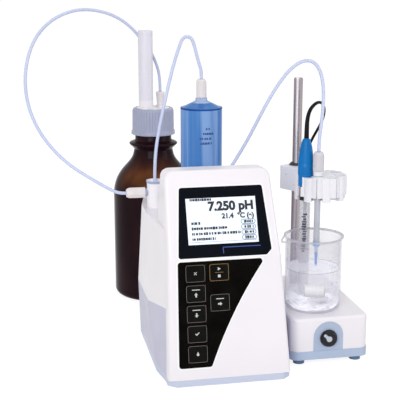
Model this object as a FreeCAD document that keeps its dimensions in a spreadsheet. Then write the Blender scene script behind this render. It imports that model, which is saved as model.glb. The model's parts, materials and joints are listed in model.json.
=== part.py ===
import FreeCAD, Part
import math
import operator
import os

import Sketcher

# Automatic titrator: dosing unit with display, reagent bottle, magnetic stirrer with electrode stand.
# Millimetres. X to the right, Y to the back, Z up from the bench. The origin lies on the bench under
# the middle of the set. Sizes and routes are given from the middle of the dosing unit's front edge,
# the datum, which place() adds.

doc = FreeCAD.newDocument("automatic_titrator")
sheet = doc.addObject("Spreadsheet::Sheet", "Sizes")

CELLS = {
    # Where the middle of the dosing unit's front edge stands
    "datum_x": -36.6, "datum_y": -180.25,
    # Dosing unit housing
    "wall": 2.6, "housing_lift": 1, "floor_wall": 3, "front_wall": 3, "foot_height": 8, "parting_height": 64,
    "parting_front": 75, "deck_height": 150, "top_height": 208, "bend_height": 126,
    "keypad_lean": 9.6, "display_lean": 23, "bezel_depth": 13, "tower_step": 0.8,
    "left_foot": 63, "right_foot": 62.5, "left_top": 57.5, "right_top": 51,
    "front_flat": 54.5, "front_chamfer": 7, "top_corner": 9, "front_edge_radius": 4,
    "base_half": 68, "parting_half": 70, "deck_half": 65,
    "base_crease": 46, "parting_crease": 87, "deck_crease": 118,
    "side_end": 163, "tail_half": 50, "tail_back": 238,
    "tower_top_depth": 24, "tower_back": 93,
    # Rear panel
    "panel_width": 84, "panel_height": 96, "panel_bottom": 26, "panel_plate": 2,
    "socket_radius": 7, "socket_flange": 2.5, "socket_length": 10, "socket_height": 52, "socket_pitch": 24,
    "switch_width": 13, "switch_height": 19, "switch_x": -26, "switch_z": 96, "switch_depth": 9,
    # Display and keypad
    "window_plate": 1.2, "window_left_top": -43.6, "window_right_top": 41.4, "window_top": 72,
    "window_left_bottom": -49, "window_right_bottom": 46, "window_bottom": 1, "window_chamfer": 5.4,
    "window_corner": 2.5, "screen_width": 71.3, "screen_height": 46.5, "screen_x": -2.2,
    "screen_up": 37.5, "lcd_border": 3, "lcd_depth": 4,
    "foil_plate": 0.8, "foil_left": -50, "foil_top": 117.4, "foil_right": 38.6, "foil_bottom": 11.6,
    "foil_tail_left": -52, "foil_tail_right": -18.9, "foil_sweep": 440, "foil_corner": 3,
    "key_width": 19.6, "key_height": 17, "key_corner": 2, "key_thick": 5, "key_proud": 0.3,
    "key_travel": 0.6, "key_gap": 0.2, "key_column": -32.8, "key_column_2": -8.8,
    "key_row": 25.2, "key_pitch": 20.1, "board_plate": 1.6, "spacer_width": 3, "panel_gap": 0.15,
    # Dosing drive and cylinder
    "cylinder_x": 3, "cylinder_y": 165, "sheath_radius": 23, "sheath_wall": 1.6,
    "sheath_gap": 2, "sheath_cone": 8, "sheath_neck": 6.5, "sheath_neck_height": 3, "sheath_seat": 156,
    "glass_radius": 13, "glass_bore": 10, "glass_head": 3, "glass_neck": 4, "glass_lift": 1, "liquid_bore": 1.2,
    "socket_ring": 29, "ring_height": 7, "stroke": 64, "stroke_reserve": 3, "piston_rest": 171,
    "piston_length": 13, "seal_width": 3, "seal_depth": 1.5, "seal_squeeze": 0.05,
    "piston_gap": 0.3, "rod_tube": 6, "rod_tube_bore": 4.4, "screw_radius": 4,
    "screw_overrun": 8, "nut_height": 12, "nut_rest": 56, "nut_flange": 5,
    "motor_width": 42.3, "motor_height": 34, "motor_bottom": 6, "frame_plate": 4,
    "column_radius": 4, "column_offset": 24, "frame_width": 60, "frame_depth": 42.3,
    "fit_gap": 0.1,
    # Valve
    "valve_x": -52, "valve_y": 150, "valve_radius": 8.65, "valve_top": 179.7, "valve_cup": 5,
    "valve_lip": 9.6, "plug_radius": 5, "plug_top": 172, "plug_shaft": 2.5,
    "port_height": 166.5, "collar_radius": 4.2, "collar_length": 2.4, "port_turn": 35,
    "gear_motor_radius": 8.5, "gear_motor_height": 26,
    "union_radius": 5.3, "union_length": 20.5, "union_bore": 1.2, "union_rib": 0.45, "ribs": 14,
    # Bottle
    "bottle_x": -29, "bottle_y": 310, "bottle_radius": 50.5, "bottle_wall": 3, "bottle_floor": 4,
    "bottle_shoulder": 133, "bottle_neck_base": 184, "bottle_neck": 22.5, "bottle_neck_wall": 5,
    "bottle_mouth": 231, "pour_ring": 30, "pour_ring_z": 188, "pour_ring_height": 7,
    "cap_radius": 27.2, "cap_bottom": 201, "cap_top": 238, "cap_plate": 3.4, "cap_flange": 29.5,
    "cap_flange_height": 5, "cap_gap": 0.3, "insert_disc": 3, "insert_boss": 20,
    "drying_x": -39, "drying_y": 300, "drying_radius": 9.65, "drying_bottom": 238.6,
    "drying_top": 333, "drying_spigot": 4, "drying_wall": 1.2,
    "connector_x": -19, "connector_y": 315, "connector_top": 257, "connector_wide": 5.5,
    "connector_narrow": 4.2, "dip_radius": 2.5, "dip_bottom": 9,
    # Stirrer
    "stirrer_x": 114, "stirrer_width": 84, "stirrer_front": 32, "stirrer_depth": 152,
    "stirrer_top": 51, "stirrer_split": 15, "stirrer_corner": 9, "stirrer_wall": 2.4,
    "base_lip": 0.8, "foot_pad_height": 6, "foot_pad_radius": 6, "foot_inset_x": 11,
    "foot_inset_y": 10, "plate_x": 113.5, "plate_y": 74, "plate_radius": 34,
    "arch_x": 111.8, "arch_width": 32, "arch_depth": 2, "arch_centre": 30.6,
    "knob_radius": 9.2, "knob_length": 9, "knob_height": 28.7, "knob_shaft": 3,
    "stir_motor_radius": 17, "stir_motor_top": 38, "magnet_length": 36, "magnet_width": 11,
    "magnet_height": 6, "magnet_bottom": 41,
    "bar_radius": 2.8, "bar_length": 24,
    # Stand
    "post_x": 110.5, "post_y": 154.5, "post_radius": 5, "post_top": 288,
    "collar_outer": 6.6, "collar_rim": 8.7, "collar_rise": 2.8, "head_bottom": 164, "head_top": 190,
    "arm_x": 90.6, "arm_y": 154.1, "arm_turn": 28.9, "arm_length": 40, "arm_width": 30,
    "arm_front_width": 21, "arm_corner": 2,
    "rosette_x": 120.2, "rosette_y": 98, "rosette_pitch": 20, "lobe_radius": 8.3, "lobe_bore": 6.15,
    "lobe_cup": 8.1, "cup_depth": 10.7, "slot_width": 1.4, "cable_slot": 4.5, "notch_width": 12,
    "notch_height": 5, "hub_radius": 20, "pier_radius": 6.5, "pier_pitch": 21.5,
    "first_lobe": 199.6, "lobe_step": 45,
    "clamp_knob_radius": 3.2, "clamp_knob_length": 7.5, "clamp_knob_shaft": 2, "clamp_knob_height": 187.2,
    "clamp_knob_back": 16,
    # Electrode and tip
    "electrode_radius": 6, "electrode_bottom": 57, "electrode_cap_radius": 7.8,
    "electrode_cap_length": 51.5, "electrode_cap_neck": 2.9, "electrode_cap_shoulder": 5.6,
    "tip_radius": 3.3, "tip_bottom": 93, "tip_nozzle": 1.3, "tip_ring": 3.8,
    "tip_ring_bottom": 116, "tip_ring_height": 4.4, "tip_adapter": 6.05, "tip_flange": 7,
    "tip_collar": 5.4, "tip_shoulder": 197.2,
    # Beaker
    "beaker_x": 105.5, "beaker_y": 70.5, "beaker_radius": 30, "beaker_wall": 1.6,
    "beaker_floor": 2, "beaker_height": 79.5, "beaker_rim": 1.8, "beaker_heel": 6,
    # Cords
    "hose_radius": 1.8, "cable_radius": 1.4, "cable_plug_radius": 6.5, "cable_plug_length": 26,
}

for row, (alias, value) in enumerate(CELLS.items(), start=1):
    sheet.set(f"A{row}", alias)
    sheet.set(f"B{row}", str(value))
    sheet.setAlias(f"B{row}", alias)
doc.recompute()


class Size:
    """A size: its value now, and the sheet formula that gives it."""

    SIGNS = {"+": operator.add, "-": operator.sub, "*": operator.mul, "/": operator.truediv}

    def __init__(self, value, formula=None):
        self.value = float(value)
        self.formula = formula or f"({self.value:.10g})"

    def joined(self, sign, other, swapped=False):
        pair = (self, other if isinstance(other, Size) else Size(other))
        left, right = reversed(pair) if swapped else pair
        value = Size.SIGNS[sign](left.value, right.value)
        return Size(value, f"({left.formula} {sign} {right.formula})")

    def __add__(self, other):
        return self.joined("+", other)

    def __radd__(self, other):
        return self.joined("+", other, swapped=True)

    def __sub__(self, other):
        return self.joined("-", other)

    def __rsub__(self, other):
        return self.joined("-", other, swapped=True)

    def __mul__(self, other):
        return self.joined("*", other)

    def __rmul__(self, other):
        return self.joined("*", other, swapped=True)

    def __truediv__(self, other):
        return self.joined("/", other)

    def __neg__(self):
        return self.joined("-", 0, swapped=True)

    def __float__(self):
        return self.value


class SheetSizes:
    """Gives each cell of the sheet as a Size, by its alias."""

    def __getattr__(self, alias):
        return Size(sheet.get(alias), f"{sheet.Name}.{alias}")


s = SheetSizes()


def sized(value):
    return value if isinstance(value, Size) else Size(value)


def sine(angle):
    angle = sized(angle)
    return Size(math.sin(math.radians(angle.value)), f"sin({angle.formula} * 1deg)")


def cosine(angle):
    angle = sized(angle)
    return Size(math.cos(math.radians(angle.value)), f"cos({angle.formula} * 1deg)")


def bind(obj, **properties):
    """Sets properties to sizes by formula."""
    for name, value in properties.items():
        obj.setExpression(name, sized(value).formula)
    return obj


def place(obj, x=0, y=0, z=0, axis=None, angle=0):
    """Stands an object at x, y, z from the datum, turned about an axis through that point."""
    if axis:
        obj.Placement.Rotation = FreeCAD.Rotation(FreeCAD.Vector(*axis), float(angle))
        if isinstance(angle, Size):
            obj.setExpression("Placement.Rotation.Angle", angle.formula)
    for letter, value in zip("xyz", (s.datum_x + x, s.datum_y + y, z)):
        obj.setExpression(f"Placement.Base.{letter}", sized(value).formula)
    return obj


nodes = {}


def node(label, obj):
    """Names an object as a sub-part that is written to its own file."""
    obj.Label = label
    nodes[label] = obj
    return obj


# Primitives and booleans

def cylinder(radius, height, x=0, y=0, z=0, axis=None, angle=0):
    solid = bind(doc.addObject("Part::Cylinder", "Cylinder"), Radius=radius, Height=height)
    return place(solid, x, y, z, axis, angle)


def cone(radius_1, radius_2, height, x=0, y=0, z=0, axis=None, angle=0):
    solid = doc.addObject("Part::Cone", "Cone")
    bind(solid, Radius1=radius_1, Radius2=radius_2, Height=height)
    return place(solid, x, y, z, axis, angle)


def box(length, width, height, x=0, y=0, z=0, axis=None, angle=0):
    solid = doc.addObject("Part::Box", "Box")
    bind(solid, Length=length, Width=width, Height=height)
    return place(solid, x, y, z, axis, angle)


def centred_box(length, width, height, x=0, y=0, z=0):
    return box(length, width, height, sized(x) - sized(length) / 2, sized(y) - sized(width) / 2, z)


def fuse(*solids):
    joined = doc.addObject("Part::MultiFuse", "Fuse")
    joined.Shapes = list(solids)
    joined.Refine = True
    return joined


def cut(base, *tools):
    result = doc.addObject("Part::Cut", "Cut")
    result.Base = base
    result.Tool = tools[0] if len(tools) == 1 else fuse(*tools)
    return result


def group(*solids):
    bundle = doc.addObject("Part::Compound", "Group")
    bundle.Links = list(solids)
    return bundle


# Bodies with sketches

def origin_plane(body, role):
    return next(plane for plane in body.Origin.OriginFeatures if plane.Role == role)


def arc_through(start, end, radius):
    """A circular arc from start to end; a positive radius bulges to the left of the way."""
    chord = end - start
    half = chord.Length / 2
    left = FreeCAD.Vector(-chord.y, chord.x, 0).normalize()
    sagitta = abs(radius) - math.sqrt(radius * radius - half * half)
    middle = (start + end) / 2 + left * math.copysign(sagitta, radius)
    return Part.Arc(end, middle, start) if radius > 0 else Part.Arc(start, middle, end)


def outline(body, role, points, name="Outline"):
    """A closed sketch whose corners are held by sizes.

    A point is (x, y), or (x, y, radius) when an arc of that radius leads to the next point.
    """
    sketch = body.newObject("Sketcher::SketchObject", name)
    sketch.AttachmentSupport = [(origin_plane(body, role), "")]
    sketch.MapMode = "FlatFace"
    corners = [FreeCAD.Vector(float(point[0]), float(point[1]), 0) for point in points]
    ends = []
    for index, point in enumerate(points):
        start, end = corners[index], corners[(index + 1) % len(points)]
        if len(point) == 2:
            sketch.addGeometry(Part.LineSegment(start, end))
            ends.append((1, 2))
            continue
        arc = arc_through(start, end, float(point[2]))
        sketch.addGeometry(arc)
        radius = sketch.addConstraint(Sketcher.Constraint("Radius", index, abs(float(point[2]))))
        if isinstance(point[2], Size):
            size = point[2] if point[2].value > 0 else -point[2]
            sketch.setExpression(f"Constraints[{radius}]", size.formula)
        ends.append((1, 2) if arc.StartPoint.distanceToPoint(start) < 1e-6 else (2, 1))
    for index, point in enumerate(points):
        after = (index + 1) % len(points)
        sketch.addConstraint(
            Sketcher.Constraint("Coincident", index, ends[index][1], after, ends[after][0])
        )
        for letter, value in zip("XY", point[:2]):
            held = Sketcher.Constraint(
                f"Distance{letter}", -1, 1, index, ends[index][0], float(value)
            )
            number = sketch.addConstraint(held)
            if isinstance(value, Size):
                sketch.setExpression(f"Constraints[{number}]", value.formula)
    return sketch


def new_body():
    return doc.addObject("PartDesign::Body", "Body")


def rounded(body, base, radius, chosen):
    """Rounds the edges that the chosen test picks; leaves the body as it is if there are none."""
    doc.recompute()
    edges = [f"Edge{n}" for n, edge in enumerate(base.Shape.Edges, start=1) if chosen(edge)]
    fillet = body.newObject("PartDesign::Fillet", "Rounding")
    fillet.Base = (base, edges)
    bind(fillet, Radius=radius)
    body.Tip = fillet
    return fillet


def rings(*places):
    """Picks the circular edges of a turned piece at (radius, height)."""
    def chosen(edge):
        if not isinstance(edge.Curve, Part.Circle):
            return False
        found = (edge.Curve.Radius, edge.Curve.Center.z)
        return any(math.dist(found, (float(r), float(z))) < 1e-4 for r, z in places)
    return chosen


def turned(profile, roundings=()):
    """A turned piece: a profile of (radius, height) swung about the vertical axis."""
    body = new_body()
    turn = body.newObject("PartDesign::Revolution", "Turning")
    sketch = outline(body, "XZ_Plane", profile, "Profile")
    turn.Profile = sketch
    turn.ReferenceAxis = (sketch, ["V_Axis"])
    turn.Angle = 360
    body.Tip = turn
    last = turn
    for radius, *places in roundings:
        last = rounded(body, last, radius, rings(*places))
    return body


def padded(role, points, length, reverse=False):
    """A flat piece: an outline on an origin plane, thickened."""
    body = new_body()
    pad = body.newObject("PartDesign::Pad", "Plate")
    pad.Profile = outline(body, role, points)
    bind(pad, Length=length)
    pad.Reversed = reverse
    body.Tip = pad
    return body


def pocketed(body, role, points, depth=None, reverse=True):
    pocket = body.newObject("PartDesign::Pocket", "Opening")
    pocket.Profile = outline(body, role, points, "OpeningOutline")
    if depth is None:
        pocket.Type = "ThroughAll"
        pocket.Midplane = True
    else:
        bind(pocket, Length=depth)
        pocket.Reversed = reverse
    body.Tip = pocket
    return pocket


def rectangle(width, height, x=0, y=0):
    half_w, half_h = sized(width) / 2, sized(height) / 2
    return [(x - half_w, y - half_h), (x + half_w, y - half_h),
            (x + half_w, y + half_h), (x - half_w, y + half_h)]


def upright(edge, direction):
    """Whether a straight edge runs along a direction."""
    if not isinstance(edge.Curve, Part.Line):
        return False
    return abs(edge.Curve.Direction.dot(FreeCAD.Vector(*direction))) > 0.999


def shape_feature(shape):
    feature = doc.addObject("Part::Feature", "Form")
    feature.Shape = shape
    return place(feature)


# Dosing unit: the outer form and its three shells

def front_y(z):
    """How far back the front face is at a height."""
    foot, bend = float(s.foot_height), float(s.bend_height)
    low = max(0.0, min(z, bend) - foot) * math.tan(math.radians(float(s.keypad_lean)))
    high = max(0.0, z - bend) * math.tan(math.radians(float(s.display_lean)))
    return low + high


def between(z, heights, values):
    """Straight-line value at a height, held beyond the ends."""
    pairs = list(zip(heights, map(float, values)))
    if z <= pairs[0][0]:
        return pairs[0][1]
    for (z_0, v_0), (z_1, v_1) in zip(pairs, pairs[1:]):
        if z <= z_1:
            return v_0 + (v_1 - v_0) * (z - z_0) / (z_1 - z_0)
    return pairs[-1][1]


def tower_half(side, z):
    """Half width of the tower at a height, on the left (-1) or right (1)."""
    foot, top = (s.left_foot, s.left_top) if side < 0 else (s.right_foot, s.right_top)
    return between(z, (float(s.foot_height), float(s.top_height)), (foot, top))


def seam_y(z):
    return front_y(z) + float(s.bezel_depth)


def housing_section(z, inset, front_gap):
    """The plan outline of the housing behind the bezel, at a height."""
    levels = (0.0, float(s.parting_height), float(s.deck_height))
    side = between(z, levels, (s.base_half, s.parting_half, s.deck_half)) - inset
    crease = between(z, levels, (s.base_crease, s.parting_crease, s.deck_crease))
    start = seam_y(z) - front_gap
    shoulder = float(s.tower_step) + inset
    left = [(-(tower_half(-1, z) - shoulder), start), (-side, crease),
            (-side, float(s.side_end) - inset / 2), (-(float(s.tail_half) - inset), float(s.tail_back) - inset)]
    right = [(tower_half(1, z) - shoulder, start), (side, crease),
             (side, float(s.side_end) - inset / 2), (float(s.tail_half) - inset, float(s.tail_back) - inset)]
    points = [FreeCAD.Vector(x, y, z) for x, y in left + right[::-1]]
    return Part.makePolygon(points + points[:1])


def housing_form(bottom, top, inset=0.0, front_gap=0.0):
    """The drafted form behind the bezel, between two heights."""
    inner = [z for z in (float(s.foot_height), float(s.parting_height), float(s.bend_height)) if bottom < z < top]
    sections = [housing_section(z, inset, front_gap) for z in (bottom, *inner, top)]
    return Part.makeLoft(sections, True, True)


def side_prism(points, half=100):
    """A side-view outline of (y, z) pulled across the unit."""
    corners = [FreeCAD.Vector(-half, y, z) for y, z in points]
    face = Part.Face(Part.makePolygon(corners + corners[:1]))
    return face.extrude(FreeCAD.Vector(2 * half, 0, 0))


def tower_outline(inset):
    """Front-view prism of the bezel and tower, with its two rounded top corners."""
    foot, top = float(s.foot_height), float(s.top_height) - inset
    corners = [(-(tower_half(-1, foot) - inset), foot), (tower_half(1, foot) - inset, foot),
               (tower_half(1, top) - inset, top), (-(tower_half(-1, top) - inset), top)]
    points = [FreeCAD.Vector(x, -20, z) for x, z in corners]
    prism = Part.Face(Part.makePolygon(points + points[:1])).extrude(FreeCAD.Vector(0, 320, 0))
    edges = [edge for edge in prism.Edges
             if upright(edge, (0, 1, 0)) and edge.CenterOfMass.z > top - 1]
    return prism.makeFillet(max(1.0, float(s.top_corner) - inset), edges)


def front_slab(depth_from, depth_to):
    """The band that follows the front profile, between two depths behind it."""
    heights = (float(s.foot_height), float(s.bend_height), float(s.top_height))
    near = [(front_y(z) + depth_from, z) for z in heights]
    far = [(front_y(z) + depth_to, z) for z in reversed(heights)]
    return side_prism(near + far)


def tower_form(inset=0.0, front_gap=0.0):
    top, deck = float(s.top_height), float(s.deck_height) - 10
    back_top = front_y(top) + float(s.tower_top_depth)
    slope = (float(s.tower_back) - back_top) / (top - float(s.deck_height))
    back_deck = float(s.tower_back) + slope * 10
    profile = [(seam_y(deck) - front_gap, deck), (seam_y(top) - front_gap, top),
               (back_top - inset, top), (back_deck - inset, deck)]
    return side_prism(profile).common(tower_outline(float(s.tower_step) + inset))


def above_parting():
    crease = float(s.parting_crease)
    seam = seam_y(float(s.parting_front))
    return side_prism([(-20, float(s.parting_front)), (seam, float(s.parting_front)),
                       (crease, float(s.parting_height)), (300, float(s.parting_height)),
                       (300, 300), (-20, 300)])


def panel_opening():
    """The hole in the tail that the rear panel closes."""
    width, height = float(s.panel_width), float(s.panel_height)
    corner = FreeCAD.Vector(-width / 2, float(s.tail_back) - 8, float(s.panel_bottom))
    return Part.makeBox(width, 20, height, corner)


def make_base_tub():
    parting = float(s.parting_front) + 5
    wall, floor = float(s.wall), float(s.floor_wall)
    lift = float(s.housing_lift)
    outer = housing_form(lift, parting).cut(above_parting())
    flat, chamfer, seam = float(s.front_flat), float(s.front_chamfer), seam_y(0.0)
    half_l, half_r = float(s.left_foot), float(s.right_foot)
    toe = [(-flat, 0), (flat, 0), (half_r, chamfer), (half_r, seam + 2),
           (-half_l, seam + 2), (-half_l, chamfer)]
    points = [FreeCAD.Vector(x, y, lift) for x, y in toe]
    toe_plate = Part.Face(Part.makePolygon(points + points[:1])).extrude(
        FreeCAD.Vector(0, 0, float(s.foot_height) - lift))
    inner = housing_form(lift + floor, parting, wall, 1.0)
    behind_toe = Part.makeBox(300, 400, parting, FreeCAD.Vector(-150, seam - wall, lift + floor))
    shell = outer.fuse(toe_plate).cut(inner.common(behind_toe)).cut(panel_opening())
    return shape_feature(shell.removeSplitter())


def make_upper_housing():
    wall, deck = float(s.wall), float(s.deck_height)
    outer = housing_form(float(s.parting_height) - 5, deck).common(above_parting())
    outer = outer.fuse(tower_form())
    inner = housing_form(float(s.parting_height) - 8, deck - wall, wall, 1.0).fuse(tower_form(wall, 1.0))
    shell = outer.cut(inner).cut(panel_opening())
    cylinder_hole = Part.makeCylinder(
        float(s.sheath_radius) + float(s.fit_gap), 40,
        FreeCAD.Vector(float(s.cylinder_x), float(s.cylinder_y), deck - 20))
    shaft_hole = Part.makeCylinder(
        float(s.plug_shaft) + 0.5, 40, FreeCAD.Vector(float(s.valve_x), float(s.valve_y), deck - 20))
    return shape_feature(shell.cut(cylinder_hole).cut(shaft_hole).removeSplitter())


def on_front(vertex):
    return abs(vertex.Point.y - front_y(vertex.Point.z)) < 1e-5


def front_rim(edge):
    """Whether an edge of the bezel lies round the front face, but not at its foot or bend."""
    ends = edge.Vertexes
    if len(ends) != 2 or not all(on_front(end) for end in ends):
        return False
    heights = [end.Point.z for end in ends]
    level = abs(heights[0] - heights[1]) < 1e-6
    return not (level and heights[0] < float(s.bend_height) + 1)


def make_bezel_form():
    depth, wall = float(s.bezel_depth), float(s.front_wall)
    outer = front_slab(0.0, depth).common(tower_outline(0.0))
    outer = outer.makeFillet(float(s.front_edge_radius), [e for e in outer.Edges if front_rim(e)])
    inner = front_slab(wall, depth + 1).common(tower_outline(wall))
    return shape_feature(outer.cut(inner).removeSplitter())


def tangent(angle):
    return sine(angle) / cosine(angle)


BEND_Y = (s.bend_height - s.foot_height) * tangent(s.keypad_lean)


def on_display(obj, x=0, up=0, depth=0):
    """Places a piece in the display face: x across, up along the slope, depth into the unit."""
    y = BEND_Y + up * sine(s.display_lean) + depth * cosine(s.display_lean)
    z = s.bend_height + up * cosine(s.display_lean) - depth * sine(s.display_lean)
    return place(obj, x, y, z, (1, 0, 0), -s.display_lean)


def on_keypad(obj, x=0, up=0, depth=0):
    """Places a piece in the keypad face, as on_display does in the display face."""
    y = up * sine(s.keypad_lean) + depth * cosine(s.keypad_lean)
    z = s.foot_height + up * cosine(s.keypad_lean) - depth * sine(s.keypad_lean)
    return place(obj, x, y, z, (1, 0, 0), -s.keypad_lean)


def window_points(gap=0):
    """The display window: a slanted frame with one corner cut off."""
    left_top, right_top = s.window_left_top - gap, s.window_right_top + gap
    left_low, right_low = s.window_left_bottom - gap, s.window_right_bottom + gap
    low, high = s.window_bottom - gap, s.window_top + gap
    return [(left_low, low), (right_low - s.window_chamfer, low), (right_low, low + s.window_chamfer),
            (right_top, high), (left_top, high)]


def foil_points(gap=0):
    """The keypad foil: wide at the top, with a long swept diagonal down to a narrow tail."""
    left, right = s.foil_left - gap, s.foil_right + gap
    return [(s.foil_tail_left - gap, s.foil_bottom - gap), (s.foil_tail_right + gap, s.foil_bottom - gap,
             s.foil_sweep), (right, s.foil_top + gap), (left, s.foil_top + gap)]


KEYS = {
    "key_cancel": (s.key_column, 4), "key_up": (s.key_column, 3), "key_down": (s.key_column, 2),
    "key_confirm": (s.key_column, 1), "key_fill": (s.key_column, 0),
    "key_start_stop": (s.key_column_2, 4), "key_right": (s.key_column_2, 2.5),
}


def key_centre(name):
    column, row = KEYS[name]
    return column, s.key_row + s.key_pitch * row


def rounded_block(points, length, radius):
    """A plate on the XZ plane with its corners rounded, reaching back from that plane."""
    body = padded("XZ_Plane", points, length, reverse=True)
    rounded(body, body.Tip, radius, lambda edge: upright(edge, (0, 1, 0)))
    return body


window = node("display_window", on_display(rounded_block(window_points(), s.window_plate, s.window_corner)))
window_seat = on_display(rounded_block(window_points(s.panel_gap), s.window_plate, s.window_corner))
lcd = node("lcd_module", on_display(box(
    s.screen_width + s.lcd_border * 2, s.lcd_depth, s.screen_height + s.lcd_border * 2),
    s.screen_x - s.screen_width / 2 - s.lcd_border,
    s.screen_up - s.screen_height / 2 - s.lcd_border, s.window_plate))
lcd_opening = on_display(box(
    s.screen_width + s.lcd_border * 2 + s.panel_gap * 2, s.lcd_depth,
    s.screen_height + s.lcd_border * 2 + s.panel_gap * 2),
    s.screen_x - s.screen_width / 2 - s.lcd_border - s.panel_gap,
    s.screen_up - s.screen_height / 2 - s.lcd_border - s.panel_gap, s.window_plate / 2)

foil = rounded_block(foil_points(), s.foil_plate, s.foil_corner)
foil_seat = on_keypad(rounded_block(foil_points(s.panel_gap), s.foil_plate, s.foil_corner))
key_holes = []
for key_name in KEYS:
    key_x, key_up = key_centre(key_name)
    size_x, size_z = s.key_width + s.key_gap * 2, s.key_height + s.key_gap * 2
    pocketed(foil, "XZ_Plane", rectangle(size_x, size_z, key_x, key_up))
    key_holes.append(on_keypad(box(size_x, s.front_wall * 2, size_z),
                               key_x - size_x / 2, key_up - size_z / 2))
    key = rounded_block(rectangle(s.key_width, s.key_height), s.key_thick, s.key_corner)
    node(key_name, on_keypad(key, key_x, key_up, -s.key_proud))
node("keypad_panel", on_keypad(foil))

node("front_bezel", cut(make_bezel_form(), window_seat, lcd_opening, foil_seat, *key_holes))
node("base_tub", make_base_tub())
node("upper_housing", make_upper_housing())

# Keypad board with a switch dome behind each key and four spacers to the bezel
DOME_HEIGHT = 0.8
BOARD_DEPTH = s.key_thick - s.key_proud + s.key_travel + s.fit_gap + DOME_HEIGHT
board_low, board_high = s.foil_bottom + 2, s.foil_top - 1
board_parts = [on_keypad(box(s.key_column_2 - s.key_column + s.key_width, s.board_plate, board_high - board_low),
                         s.key_column - s.key_width / 2, board_low, BOARD_DEPTH)]
for key_name in KEYS:
    key_x, key_up = key_centre(key_name)
    dome = cylinder(4.5, DOME_HEIGHT)
    y = key_up * sine(s.keypad_lean) + (BOARD_DEPTH - DOME_HEIGHT) * cosine(s.keypad_lean)
    z = s.foot_height + key_up * cosine(s.keypad_lean) - (BOARD_DEPTH - DOME_HEIGHT) * sine(s.keypad_lean)
    board_parts.append(place(dome, key_x, y, z, (1, 0, 0), -90 - s.keypad_lean))
spacer_x = (s.key_column + s.key_column_2) / 2 - s.spacer_width / 2
for up in (board_low, board_high - s.spacer_width):
    spacer = box(s.spacer_width, BOARD_DEPTH - s.front_wall, s.spacer_width)
    board_parts.append(on_keypad(spacer, spacer_x, up, s.front_wall))
node("keypad_board", fuse(*board_parts))

# Main board, standing on four posts in the tub
floor_top = s.housing_lift + s.floor_wall
POST_RISE = 6
board_x, board_y, board_w, board_d = -48, 60, 96, 70
main_parts = [box(board_w, board_d, s.board_plate, board_x, board_y, floor_top + POST_RISE)]
for dx in (6, board_w - 6):
    for dy in (6, board_d - 6):
        main_parts.append(cylinder(3, POST_RISE, board_x + dx, board_y + dy, floor_top))
main_parts.append(box(22, 22, 4, board_x + 30, board_y + 24, floor_top + POST_RISE + s.board_plate))
main_parts.append(box(30, 8, 9, board_x + 10, board_y + 58, floor_top + POST_RISE + s.board_plate))
node("main_board", fuse(*main_parts))

# Rear panel with its sockets and power switch
panel_y = s.tail_back - s.wall
socket_xs = [s.socket_pitch * step for step in (-1, 0, 1)]
panel = box(s.panel_width - s.panel_gap * 2, s.panel_plate, s.panel_height - s.panel_gap * 2,
            -(s.panel_width / 2) + s.panel_gap, panel_y, s.panel_bottom + s.panel_gap)
panel_holes = [cylinder(s.socket_radius - 1, 20, x, panel_y - 5, s.socket_height, (1, 0, 0), -90)
               for x in socket_xs]
panel_holes.append(box(s.switch_width, 20, s.switch_height, s.switch_x - s.switch_width / 2,
                       panel_y - 5, s.switch_z - s.switch_height / 2))
panel_holes.append(box(31, 20, 12, 4, panel_y - 5, s.switch_z - 6))
node("rear_panel", cut(panel, *panel_holes))


def socket(x, radius, bore):
    """A panel socket: a nut outside, a threaded barrel through the panel, open at the back."""
    flange = cylinder(radius, s.socket_flange, x, panel_y + s.panel_plate, s.socket_height, (1, 0, 0), -90)
    barrel = cylinder(radius - 1 - s.fit_gap, s.socket_length + s.panel_plate,
                      x, panel_y - s.socket_length + s.panel_plate, s.socket_height, (1, 0, 0), -90)
    hole = cylinder(bore, 8, x, panel_y + s.panel_plate - 5.5, s.socket_height, (1, 0, 0), -90)
    return cut(fuse(flange, barrel), hole)


serial = cut(box(31 - s.fit_gap * 2, 9, 12 - s.fit_gap * 2, 4 + s.fit_gap, panel_y - 7, s.switch_z - 6 + s.fit_gap),
             box(20, 6, 7, 9.5, panel_y - 3, s.switch_z - 3.5))
node("rear_sockets", group(*[socket(x, s.socket_radius, 3.2) for x in socket_xs], serial))

rocker = new_body()
rocker_pad = rocker.newObject("PartDesign::Pad", "Rocker")
half_h = s.switch_height / 2 - 1
rocker_pad.Profile = outline(rocker, "YZ_Plane", [
    (-s.switch_depth + 2, -half_h * 0.7), (1.2, -half_h * 0.96), (1.8, -half_h * 0.9), (0.7, 0),
    (3.2, half_h * 0.86), (2.6, half_h * 0.96), (-s.switch_depth + 2, half_h * 0.7)])
bind(rocker_pad, Length=s.switch_width - 1.2)
rocker_pad.Midplane = True
rocker.Tip = rocker_pad
node("power_switch", place(rocker, s.switch_x, panel_y + 1, s.switch_z))

node("housing_feet", group(*[cylinder(7, s.housing_lift, x, y)
                             for x, y in ((-50, 30), (50, 30), (-40, 215), (40, 215))]))

# Dosing drive: motor, frame, screw, nut, hollow rod and piston under the glass cylinder
axis_x, axis_y = s.cylinder_x, s.cylinder_y
motor_top = s.motor_bottom + s.motor_height
frame_top = s.deck_height - s.wall
nut_top = s.nut_rest + s.nut_height

motor_body = centred_box(s.motor_width, s.motor_width, s.motor_height, axis_x, axis_y, s.motor_bottom)
motor_stand = cylinder(9, s.motor_bottom - floor_top, axis_x, axis_y, floor_top)
motor_nose = cylinder(11, s.frame_plate - 2, axis_x, axis_y, motor_top)
motor_bore = cylinder(s.screw_radius - 0.9, s.motor_height, axis_x, axis_y, motor_top - 20)
node("stepper_motor", cut(fuse(motor_body, motor_stand, motor_nose), motor_bore))

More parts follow.
